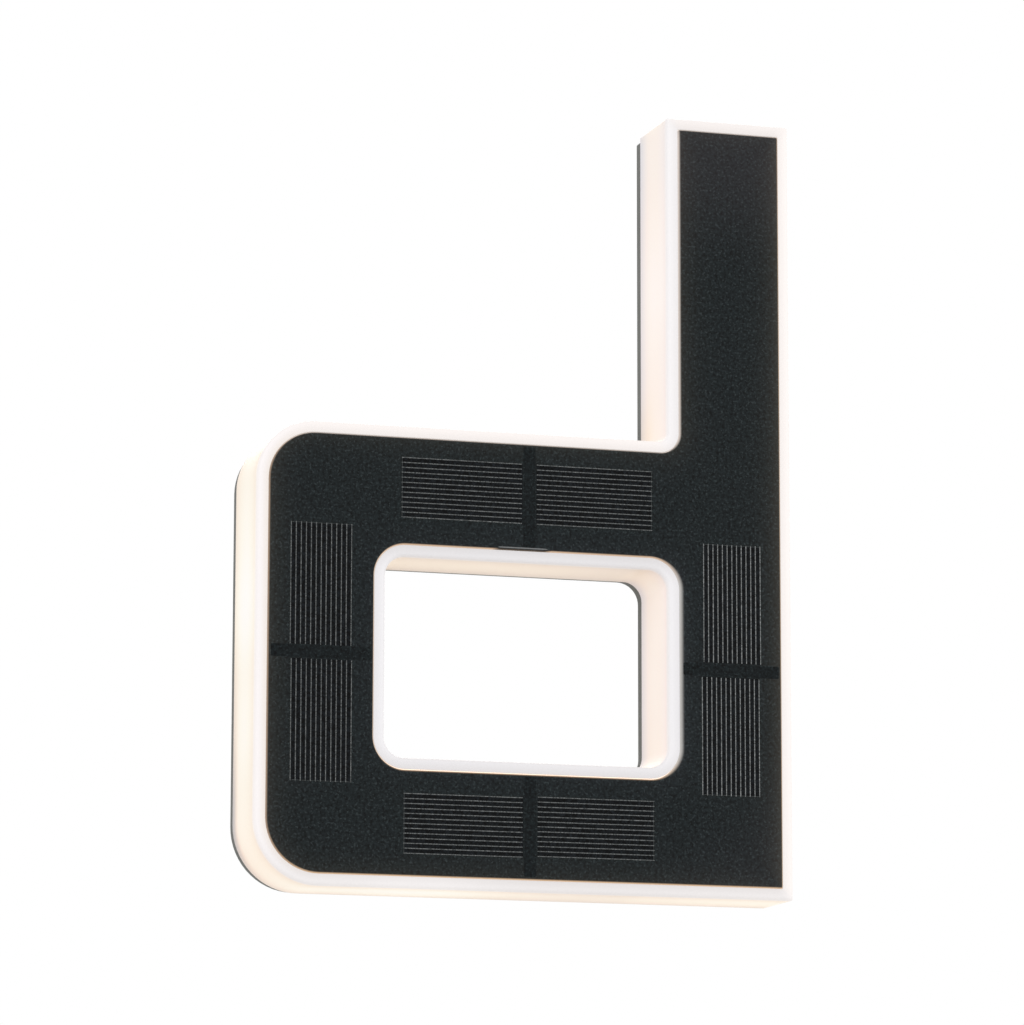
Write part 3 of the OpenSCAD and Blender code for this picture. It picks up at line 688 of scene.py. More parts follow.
class Finishes(Enum):
    """Every finish of the sign and of the floor. Metals keep the shader's own default IOR."""

    # Moulded opal acrylic scatters the lamps' light: a milky, evenly lit, faintly glossy skin
    OPAL = LitFinish(
        "opal_acrylic_moulded", "#c3bebd", "#bfbab9", roughness=0.38, spread=0.04, grain=0.5,
        relief=0.002, cloud=30, ior=1.49, specular=0.35)
    # Moulded ABS with a spark-eroded tool grain of about 0.2 mm, drawn at 0.35 mm to show
    ABS = Finish(
        "grey_abs_spark_grain", "#5f605c", "#6b6c68", roughness=0.62, spread=0.06, grain=0.35,
        relief=0.015, cloud=22, ior=1.53, specular=0.4)
    # Die-cut closed EPDM rubber: matt black with an open, dusty grain
    EPDM = Finish(
        "black_epdm_die_cut", "#191918", "#242423", roughness=0.85, spread=0.05, grain=0.3,
        relief=0.02, cloud=8, ior=1.52, specular=0.3)
    # Cold-headed stainless steel, tumbled: satin with fine dents
    STEEL = Finish(
        "stainless_steel_tumbled", "#b9b9ba", "#a5a5a7", roughness=0.32, spread=0.07,
        grain=0.25, relief=0.004, cloud=3, metallic=1.0)
    # Glass-resin laminate under a matt resin coat: near black, with soft lumps of about 0.8 mm
    LAMINATE = CoatedBoard(
        "dark_laminate_resin_coat", "#080b0c", "#1e2527", roughness=0.52, spread=0.05,
        grain=0.8, relief=0.012, cloud=14, specular=0.11, low=0.32, high=0.7)
    # Clear silicone adhesive, cured: cloudy and soft
    SILICONE = Finish(
        "clear_silicone_cured", "#c9c5bb", "#d6d2c8", roughness=0.45, spread=0.08, grain=1.2,
        relief=0.03, cloud=6, ior=1.41)
    # Polished silicon wafer under the clear coat: blue-black, with a faint speckle of the coat
    WAFER = Finish(
        "silicon_wafer_coated", "#030304", "#181c20", roughness=0.42, spread=0.05, grain=0.7,
        relief=0.004, cloud=9, specular=0.08, low=0.4, high=0.72)
    # Screen-printed silver paste under the coat: dull grey lines with brighter beads
    SILVER = Finish(
        "silver_paste_printed", "#373a3a", "#7e8181", roughness=0.6, spread=0.08, grain=0.5,
        relief=0.012, cloud=3, ior=1.45, specular=0.2, low=0.34, high=0.74)
    # The same paste with a little more relief, as on the cells at the right; its paler tones are a
    # painted sheen
    SILVER_PAINTED_SHEEN = Finish(
        "silver_paste_painted_sheen", "#474a4a", "#999c9c", roughness=0.58, spread=0.08, grain=0.5,
        relief=0.014, cloud=3, ior=1.45, specular=0.2, low=0.34, high=0.74)
    # The joining line at the cell's end, scraped thin
    THIN_SILVER = Finish(
        "silver_paste_thin", "#1c2021", "#4a4e4e", roughness=0.6, spread=0.06, grain=0.5,
        relief=0.006, cloud=3, ior=1.45, specular=0.15)
    # Dark tape laid under the coat between the cells: the same lumps, a little darker
    TAPE = CoatedBoard(
        "joint_strip_coated", "#050607", "#171e20", roughness=0.52, spread=0.05, grain=0.8,
        relief=0.012, cloud=14, specular=0.1, low=0.32, high=0.7, fleck="#242b2d")
    # White solder mask, curtain coated: bright, glossy, slightly wavy
    WHITE_MASK = Finish(
        "white_solder_mask", "#dcddd8", "#e4e5e0", roughness=0.3, spread=0.05, grain=1.5,
        relief=0.006, cloud=9)
    # Silicone with phosphor in a white package, lit
    PHOSPHOR = GlowingFinish(
        "phosphor_lamp_lit", "#f0d48e", "#f4dca2", roughness=0.4, spread=0.05, grain=0.3,
        relief=0.01, cloud=2, ior=1.41, glow="#ffdca8", strength=1.6)
    # Green solder mask over copper
    GREEN_MASK = TracedBoard(
        "green_solder_mask", "#12512c", "#165a33", roughness=0.28, spread=0.05, grain=1.1,
        relief=0.006, cloud=8)
    # Moulded epoxy of chips, chokes and capacitors
    EPOXY = Finish(
        "black_epoxy_moulded", "#1b1b1c", "#232324", roughness=0.55, grain=0.25,
        relief=0.008, cloud=4)
    # Shrink sleeve of PVC over the cell: satin with faint stretch marks
    SLEEVE = Finish(
        "pvc_shrink_sleeve", "#2b5f76", "#306a83", roughness=0.33, spread=0.08, grain=2.2,
        relief=0.008, cloud=10, ior=1.54)
    # Nickel plate on steel
    NICKEL = Finish(
        "nickel_plated_steel", "#aca79e", "#b9b4aa", roughness=0.26, grain=0.3,
        relief=0.003, cloud=3, metallic=1.0)
    # Moulded nylon of the switch's knob
    NYLON = Finish(
        "black_nylon_moulded", "#1c1c1c", "#262626", roughness=0.55, spread=0.05, grain=0.25,
        cloud=5, ior=1.53, specular=0.4)
    # PVC insulation of the thin leads
    INSULATION = Finish(
        "red_pvc_insulation", "#8e1a14", "#9c2019", roughness=0.4, grain=0.8, relief=0.006,
        cloud=7, ior=1.54)
    # Plaster of the studio's floor: pale and even, with a grain that barely shows
    PLASTER = Finish(
        "pale_floor_plaster", "#f6f5f3", "#f2f1ef", roughness=0.9, spread=0.03, grain=3.0,
        relief=0.05, cloud=200, specular=0.1)

    @property
    def material(self) -> bpy.types.Material:
        """The finish as a material."""
        return self.value.material()


def keep_piece(piece: bpy.types.Object, body: str, slot: str, *nodes: str) -> None:
    """Makes a piece ride on its body and stand for its CAD nodes, and logs it.

    Args:
        piece: The new piece.
        body: Name of its CAD body.
        slot: Name of its material slot in the record; not used.
        nodes: CAD nodes that it stands for.
    """
    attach(piece, body)
    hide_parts(*nodes)
    log.info("%s: %d points, rides on %s, stands for %s", piece.name,
             len(piece.data.vertices), body, ", ".join(nodes))


# --------------------------------------------------------------------------- the letter


@dataclass(frozen=True)
class Letter:
    """Sizes of the letter's outline and of its layers, in mm."""

    width: float = 140.0
    height: float = 200.0
    ring: float = 115.5
    stroke: float = 33.0
    foot: float = 32.3
    top_bend: float = 15.0
    foot_bend: float = 16.5
    crotch: float = 2.2
    window_bend: float = 5.1
    sharp_bend: float = 0.5
    cover_bend: float = 1.5
    lip: float = 3.1
    wall: float = 2.0
    face_depth: float = 26.5
    lip_depth: float = 26.0
    recess_depth: float = 24.4
    plate_depth: float = 22.4
    board_rear_depth: float = 24.7
    body_depth: float = 4.5
    cover_edge_depth: float = 4.0
    corner_soft: float = 1.7

    def outline(self, cover: bool = False) -> Outline:
        """Gives the letter's outline.

        Args:
            cover: Whether it is for the cover and its seal, whose corners are a little rounder.

        Returns:
            The outline.
        """
        stem = self.width - self.stroke
        sharp = self.cover_bend if cover else self.sharp_bend
        return Outline((
            Corner(0, 0, self.foot_bend), Corner(self.width, 0, sharp),
            Corner(self.width, self.height, sharp), Corner(stem, self.height, sharp),
            Corner(stem, self.ring, self.crotch), Corner(0, self.ring, self.top_bend)))

    def window(self) -> Outline:
        """The outline of the window in the ring."""
        return Outline.box((self.stroke, self.width - self.stroke),
                           (self.foot, self.ring - self.stroke), self.window_bend)

    def sides(self, flat: np.ndarray) -> tuple[np.ndarray, np.ndarray, np.ndarray]:
        """Finds the side of the outline or of the window that is nearest to each spot.

        A side's direction (dx, dz) gives (dz, -dx) as the way out of the letter, and its
        opposite at the window. So that light passes softly round a corner, the ways of all
        sides are summed with the weight exp(-(d^2 - least d^2) / soft^2) at the distance d.

        Args:
            flat: (n, 2) array of x and z in mm.

        Returns:
            Ways out of the material (n, 2), insets in mm (n,), and whether the side is the
            window's (n,).
        """
        loops = self.outline().loop(0), self.window().loop(0)
        marks = np.concatenate(loops)
        way = np.concatenate([(np.roll(loop, -1, 0) - np.roll(loop, 1, 0)) * sign
                              for loop, sign in zip(loops, (1, -1))])
        span = np.stack([way[:, 1], -way[:, 0]], 1)
        out = span / np.linalg.norm(span, axis=1)[:, None]
        near, facing = [], []
        for part in np.array_split(flat, len(flat) // SPOTS_AT_ONCE + 1):
            apart = ((part[:, None] - marks[None]) ** 2).sum(2)
            near.append(apart.argmin(1))
            past = apart - apart.min(1, keepdims=True)
            facing.append(np.exp(-past / self.corner_soft ** 2) @ span)
        near, facing = np.concatenate(near), np.concatenate(facing)
        inset = ((marks[near] - flat) * out[near]).sum(1)
        facing /= np.linalg.norm(facing, axis=1)[:, None]
        return facing, inset, near >= len(loops[0])


@dataclass(frozen=True)
class Spots:
    """Points of a piece in mm, with the side of the letter that is nearest to each: the way it
    faces out of the material (n, 2), its distance in mm, and whether it is the window's."""

    x: np.ndarray
    depth: np.ndarray
    z: np.ndarray
    facing: np.ndarray
    inset: np.ndarray
    window: np.ndarray

    @classmethod
    def of(cls, piece: bpy.types.Object, letter: Letter) -> "Spots":
        """Reads a piece's points and finds their sides.

        Args:
            piece: The mesh object.
            letter: The letter's sizes.

        Returns:
            Its points.
        """
        mesh = piece.data
        read = np.zeros(len(mesh.vertices) * 3)
        mesh.vertices.foreach_get("co", read)
        x, y, z = read.reshape(-1, 3).T / MM
        x, z = x + ORIGIN_X, z + ORIGIN_Z
        return cls(x, -y, z, *letter.sides(np.stack([x, z], 1)))

    @property
    def flat(self) -> np.ndarray:
        """The points as an (n, 2) array of x and z."""
        return np.stack([self.x, self.z], 1)

    def toward(self, across: int, up: int) -> np.ndarray:
        """How far each point's side faces a way: the cosine, or 0 where it faces away."""
        return np.clip(self.facing @ np.array([across, up], float), 0, 1)


def smooth(x: np.ndarray, low: float, high: float) -> np.ndarray:
    """Goes smoothly from 0 at low to 1 at high: 3 t^2 - 2 t^3."""
    t = np.clip((x - low) / (high - low), 0, 1)
    return t * t * (3 - 2 * t)


@dataclass(frozen=True)
class HotPlace:
    """A place on a wall whose light differs, as beside a lamp; one with a negative strength is a
    painted shadow. Its width is in mm.
    """

    x: float
    z: float
    strength: float
    width: float

    def light(self, flat: np.ndarray) -> np.ndarray:
        """The place's share at each spot: strength times exp(-(distance / width)^2)."""
        apart = np.hypot(flat[:, 0] - self.x, flat[:, 1] - self.z)
        return self.strength * np.exp(-(apart / self.width) ** 2)


# Places where the walls' light differs; the one at (97, 82.5) with negative strength is a painted
# shadow of the board
HOT_PLACES = (
    HotPlace(0, 70, 1.6, 13), HotPlace(0, 40, 0.6, 12), HotPlace(0, 92, 0.4, 11),
    HotPlace(14, 0, 0.35, 9), HotPlace(42, 0, 1.1, 20), HotPlace(97, 82.5, -0.1, 14),
    HotPlace(135, 0, 0.45, 28), HotPlace(107, 157, 0.4, 15), HotPlace(140, 70, 0.8, 25),
    HotPlace(140, 155, 0.6, 20), HotPlace(60, 115.5, 0.5, 30))


@dataclass(frozen=True)
class EdgeLight:
    """Light in the board's edge and in the gap beside it, on the sides that face one way.

    Attributes:
        way: The way out of the letter's material.
        window: Whether the sides are the window's.
        tone: Light at the board's rim.
        reach: How far it reaches on to the board in mm.
        gap: Light in the gap between the board and the lip.
        from_x: Least x of these sides.
        to_x: Greatest x of these sides.
    """

    way: tuple[int, int]
    window: bool
    tone: tuple[float, float, float]
    reach: float
    gap: tuple[float, float, float]
    from_x: float = -math.inf
    to_x: float = math.inf

    def share(self, spots: Spots) -> np.ndarray:
        """How far each spot's side faces this way: the square of the cosine, or 0 elsewhere."""
        ours = (spots.window == self.window) & (spots.x >= self.from_x) & (spots.x < self.to_x)
        return (spots.toward(*self.way) ** 2 * ours)[:, None]


EDGE_LIGHTS = (
    EdgeLight((0, -1), False, (0.52, 0.35, 0.22), 0.16, (0.50, 0.34, 0.21)),
    EdgeLight((0, -1), True, (0.58, 0.40, 0.27), 0.2, (0.50, 0.38, 0.27)),
    EdgeLight((-1, 0), False, (0.30, 0.21, 0.15), 0.18, (0.52, 0.40, 0.31), to_x=STEM_FROM),
    EdgeLight((-1, 0), False, (0.60, 0.52, 0.47), 0.42, (0.85, 0.77, 0.72), from_x=STEM_FROM),
    EdgeLight((-1, 0), True, (0.46, 0.44, 0.42), 0.85, (0.76, 0.74, 0.72)),
    EdgeLight((1, 0), False, (0.22, 0.15, 0.09), 0.16, (0.30, 0.21, 0.14)),
    EdgeLight((1, 0), True, (0.30, 0.22, 0.16), 0.22, (0.50, 0.40, 0.31)),
    EdgeLight((0, 1), False, (0.14, 0.12, 0.10), 0.24, (0.38, 0.33, 0.30)),
    EdgeLight((0, 1), True, (0.62, 0.42, 0.27), 0.42, (0.95, 0.78, 0.65)))


@dataclass(frozen=True)
class WallLight:
    """Light that the opal body's walls give out.

    A wall has a level of light: an even part, less on walls that face down, and the hot places
    beside the lamps, with one painted shadow of the board among them. Both fade from the brightest
    depth, as 1 - u^2 and exp(-u^2). Each colour follows the level as full (1 - exp(-rate level)),
    with red's rate the highest, so dim places are amber and bright ones white. The even part is
    less at the stem's top and in the shade at the lower left. The stem's left walls are tinted,
    differently towards rear, front and top and low down, and the bend at the lower left is a
    little warmer. A pair gives the two places in mm between which a share changes smoothly.
    """

    bright_depth: float = 15.5
    even: float = 0.95
    up_more: float = 0.12
    down_less: float = 0.48
    window_down_less: float = 0.57
    even_reach: float = 14.0
    hot_reach: float = 7.5
    top: tuple[float, float] = (165, 190)
    top_less: float = 0.2
    corner_z: tuple[float, float] = (15, 70)
    corner_x: tuple[float, float] = (20, 50)
    corner_depth: tuple[float, float] = (5.5, 11)
    full: float = 0.45
    rates: tuple[float, float, float] = (3.2, 1.9, 1.0)
    side_more: float = 1.06
    pale: tuple[float, float, float] = (-0.01, -0.035, 0.01)
    pale_rear: tuple[float, float, float] = (-0.10, -0.02, 0.05)
    rear: tuple[float, float] = (4.5, 12)
    pale_front: tuple[float, float, float] = (0.0, 0.03, 0.065)
    fore: tuple[float, float] = (17, 24)
    pale_top: tuple[float, float, float] = (-0.01, 0.025, 0.035)
    pale_z: tuple[float, float] = (165, 195)
    amber: tuple[float, float, float] = (0.0, -0.03, -0.08)
    amber_z: tuple[float, float] = (118, 136)
    amber_depth: tuple[float, float] = (8, 18)
    bend: HotPlace = HotPlace(3, 6.5, 1.0, 9)
    warm: tuple[float, float, float] = (0.055, 0.028, 0.022)

    def level(self, spots: Spots, hot: np.ndarray) -> np.ndarray:
        """The level of light at each spot.

        Args:
            spots: Points of the body.
            hot: Share of the hot places at each.

        Returns:
            Levels (n,).
        """
        less = np.where(spots.window, self.window_down_less, self.down_less)
        even = self.even + self.up_more * spots.toward(0, 1) - less * spots.toward(0, -1) ** 2
        past = spots.depth - self.bright_depth
        even *= 1 - (past / self.even_reach) ** 2
        even *= 1 - self.top_less * smooth(spots.z, *self.top)
        corner = (1 - smooth(spots.z, *self.corner_z)) * (1 - smooth(spots.x, *self.corner_x))
        shade = corner * (1 - smooth(spots.depth, *self.corner_depth))
        even *= 1 - shade * spots.facing[:, 0] ** 2
        return even + hot * np.exp(-(past / self.hot_reach) ** 2)

    def colour(self, spots: Spots, hot: np.ndarray) -> np.ndarray:
        """The walls' light at each spot.

        Args:
            spots: Points of the body.
            hot: Share of the hot places at each.

        Returns:
            (n, 3) linear colours.
        """
        level = self.level(spots, hot)[:, None]
        wall = self.full * (1 - np.exp(-level * np.array(self.rates)))
        stem, left = spots.x > STEM_FROM, spots.toward(-1, 0)
        bright = (spots.window & (left > FACES_WAY)) | stem
        wall *= np.where(bright, self.side_more, 1.0)[:, None]
        rear = 1 - smooth(spots.depth, *self.rear)
        fore = smooth(spots.depth, *self.fore)
        top = smooth(spots.z, *self.pale_z)
        low = (1 - smooth(spots.z, *self.amber_z)) * (1 - smooth(spots.depth, *self.amber_depth))
        tints = ((1, self.pale), (rear, self.pale_rear), (fore, self.pale_front),
                 (top, self.pale_top), (np.where(spots.window, 0, low), self.amber))
        for share, tint in tints:
            wall += (np.where(stem, left, 0) * share)[:, None] * tint
        return wall + self.bend.light(spots.flat)[:, None] * self.warm


@dataclass(frozen=True)
class LipLight:
    """Light that the opal body's lip gives out: faint, cooler, and with its own tint by side.

    A side that faces down has the base and the others have more. The light slopes from the outer
    edge to the inner one, and the ring's left side has a cool line at its outer edge. A pair
    gives the two places in mm between which a share changes smoothly.
    """

    base: float = 0.283
    side_more: float = 0.105
    window_side_more: float = 0.06
    hot_more: float = 0.06
    right_more: float = 0.03
    window_down_less: float = 0.035
    top: tuple[float, float] = (165, 195)
    top_less: float = 0.03
    slope: float = 0.025
    slope_inset: tuple[float, float] = (0.7, 2.5)
    tint: tuple[float, float, float] = (1.0, 0.99, 1.0)
    side_tint: tuple[float, float, float] = (0.04, -0.01, -0.06)
    window_tint: tuple[float, float, float] = (0.95, 0.99, 1.06)
    stem_tint: tuple[float, float, float] = (0.09, 0.015, -0.06)
    ring_to: float = 20.0
    cool: tuple[float, float, float] = (0.0, 0.01, 0.03)
    cool_turn: float = 2.2
    cool_inset: tuple[float, float] = (0.9, 2.7)

    def colour(self, spots: Spots, hot: np.ndarray) -> np.ndarray:
        """The lip's light at each spot.

        Args:
            spots: Points of the body.
            hot: Share of the hot places at each.

        Returns:
            (n, 3) linear colours.
        """
        window, outer = spots.window, ~spots.window
        left, up, down = spots.toward(-1, 0), spots.toward(0, 1), spots.toward(0, -1) ** 2
        side = spots.facing[:, 0] ** 2 + np.where(window, 0, up ** 2)
        lip = self.base + side * np.where(window, self.window_side_more, self.side_more)
        lip += self.hot_more * np.clip(hot, 0, 1) * down
        lip += np.where(outer & (spots.toward(1, 0) > FACES_WAY), self.right_more, 0)
        lip -= np.where(window, self.window_down_less, 0) * down
        lip -= self.top_less * smooth(spots.z, *self.top) * up
        lip += self.slope * (1 - 2 * smooth(spots.inset, *self.slope_inset))
        tint = np.where(window[:, None], self.window_tint,
                        np.array(self.tint) + side[:, None] * self.side_tint)
        stem = np.where(outer & (spots.x > STEM_FROM), left, 0)
        tint = tint - stem[:, None] * self.stem_tint
        turn = 1 - self.cool_turn * smooth(spots.inset, *self.cool_inset)
        ring = np.where(outer & (spots.x < self.ring_to), left, 0) * turn
        return lip[:, None] * tint + ring[:, None] * self.cool


@dataclass
class OpalBody:
    """The moulded opal body: walls, rounded front edge, lip, recess, front plate and bosses."""

    letter: Letter
    recess_inset: float = 2.9
    edge: float = 1.0
    foot_edge: float = 0.2
    lip_edge: float = 0.12
    wall_step: float = 1.0
    boss: float = 6.0
    bore: float = 2.7
    bend_points: int = 9
    lip_points: int = 5
    hole_points: int = 32
    boss_inset: float = 6.4
    boss_share: float = 0.285
    sunk: float = 1.0
    rib: float = 1.2
    rib_reach: float = 6.0
    rib_low: float = 17.39
    rib_draft: float = 0.12
    rib_bend: float = 0.35
    near_wall: float = 1.0
    lead_hole: tuple[float, float, float] = (119.85, 69.8, 3.6)
    lip_light_from: float = 2.4
    lip_light_full: float = 0.1
    near_recess: float = 0.03

    def section(self) -> np.ndarray:
        """Works out the wall's section, from the inner wall's foot round the outside to the
        floor of the recess. Corners are quarter circles.

        Returns:
            (rows, 2) array of inset and depth in mm.
        """
        s = self.letter
        t = np.linspace(0, math.pi / 2, self.bend_points)
        foot = np.stack([self.foot_edge * (1 - np.sin(t)),
                         s.body_depth + self.foot_edge * (1 - np.cos(t))], 1)
        rise = np.arange(s.body_depth + self.foot_edge + self.wall_step,
                         s.lip_depth - self.edge, self.wall_step)
        wall = np.stack([0 * rise, rise], 1)
        front = np.stack([self.edge * (1 - np.cos(t)),
                          s.lip_depth - self.edge * (1 - np.sin(t))], 1)
        lip = np.linspace(self.edge, self.recess_inset - self.lip_edge, self.lip_points)[1:-1]
        flat = np.stack([lip, 0 * lip + s.lip_depth], 1)
        inner = np.stack([self.recess_inset - self.lip_edge * (1 - np.sin(t)),
                          s.lip_depth - self.lip_edge * (1 - np.cos(t))], 1)
        ends = [[s.wall, s.body_depth]], [[self.recess_inset, s.recess_depth]]
        return np.concatenate([ends[0], foot, wall, front, flat, inner, ends[1]])

    def screw_spots(self) -> np.ndarray:
        """Gives the middles of the bosses.

        Returns:
            (n, 2) array of places across and up the letter in mm.
        """
        s, near = self.letter, self.boss_inset
        left, right = self.boss_share * s.width, (1 - self.boss_share) * s.width
        return np.array([[near, s.ring / 2], [s.width - near, s.ring / 2], [left, near],
                         [right, near], [left, s.ring - near], [right, s.ring - near],
                         [s.width - s.stroke + near, s.height - near]])

    def build(self) -> bpy.types.Object:
        """Makes the body as one closed shell with its bosses and ribs.

        Returns:
            The piece.
        """
        s = self.letter
        skin = Skin()
        section = self.section()
        inner = np.array([[s.wall, s.plate_depth], [s.wall, s.body_depth]])
        outline, window = s.outline(), s.window()
        for path, sign in ((outline, 1), (window, -1)):
            rows = section if sign == 1 else section[::-1]
            skin.sweep(path, rows, sign)
            skin.sweep(path, inner if sign == 1 else inner[::-1], sign)
        r = self.recess_inset
        x, z, wide = self.lead_hole
        t = full_turn(self.hole_points)
        hole = np.stack([x + wide / 2 * np.cos(t), z + wide / 2 * np.sin(t)], 1)
        skin.sheet([outline.loop(r), window.loop(-r), hole], s.recess_depth)
        skin.sheet([outline.loop(s.wall), window.loop(-s.wall), hole], s.plate_depth,
                   forwards=False)
        skin.wall((hole, s.recess_depth), (hole, s.plate_depth))
        for x, z in self.screw_spots():
            self._boss(skin, x, z)
            self._ribs(skin, x, z)
        made = skin.build("opal_shell", [Finishes.OPAL.material])
        keep_glow(made, self.glow(made))
        return made

    def _boss(self, skin: Skin, x: float, z: float) -> None:
        """Adds a boss with its bore, as a closed turned ring from the body's foot to the plate.

        Args:
            skin: The surface to add to.
            x: Middle of the boss across the letter.
            z: Middle of the boss up the letter.
        """
        s = self.letter
        high = s.plate_depth + self.sunk - s.body_depth
        profile = np.array([[0, self.bore / 2], [0, self.boss / 2], [high, self.boss / 2],
                            [high, self.bore / 2], [0, self.bore / 2]])
        skin.revolve(profile, place(np.float64(x), s.body_depth, np.float64(z)),
                     np.array([0, -1.0, 0]))

    def _ribs(self, skin: Skin, x: float, z: float) -> None:
        """Adds the two crossed ribs of a boss: rounded plates that thin towards their foot.

        Args:
            skin: The surface to add to.
            x: Middle of the boss across the letter.
            z: Middle of the boss up the letter.
        """
        s, far, wall = self.letter, self.rib_reach, self.near_wall
        stem = s.width - s.stroke
        left = max(x - far, wall if z < s.ring else stem + wall)
        right = min(x + far, s.width - wall)
        low = max(z - far, wall)
        high = min(z + far, (s.height if z > s.ring else s.ring) - wall)
        half = self.rib / 2
        for x0, x1, z0, z1 in ((left, right, z - half, z + half),
                               (x - half, x + half, low, high)):
            rim = Outline.box((x0, x1), (z0, z1), self.rib_bend, bend_points=4)
            foot, top = rim.loop(self.rib_draft), rim.loop(0)
            deep = s.plate_depth + self.sunk
            skin.wall((foot, self.rib_low), (top, deep))
            skin.sheet([foot], self.rib_low, forwards=False)
            skin.sheet([top], deep)

    def glow(self, made: bpy.types.Object) -> np.ndarray:
        """Light given out at each point: the walls' own, which passes into the lip's over the
        last 2.4 mm of depth, and in the recess the light of the gap beside the board.

        Args:
            made: The body.

        Returns:
            (n, 3) linear colours.
        """
        spots, front = Spots.of(made, self.letter), self.letter.lip_depth
        hot = sum(hot_place.light(spots.flat) for hot_place in HOT_PLACES)
        wall, lip = WallLight().colour(spots, hot), LipLight().colour(spots, hot)
        share = smooth(spots.depth, front - self.lip_light_from, front - self.lip_light_full)
        out = wall + (lip - wall) * share[:, None]
        gap = sum(light.share(spots) * light.gap for light in EDGE_LIGHTS)
        recess = ((spots.inset > self.recess_inset - self.near_recess)
                  & (spots.depth < front - self.lip_edge))
        out[recess] = gap[recess]
        return np.clip(out, 0, None)


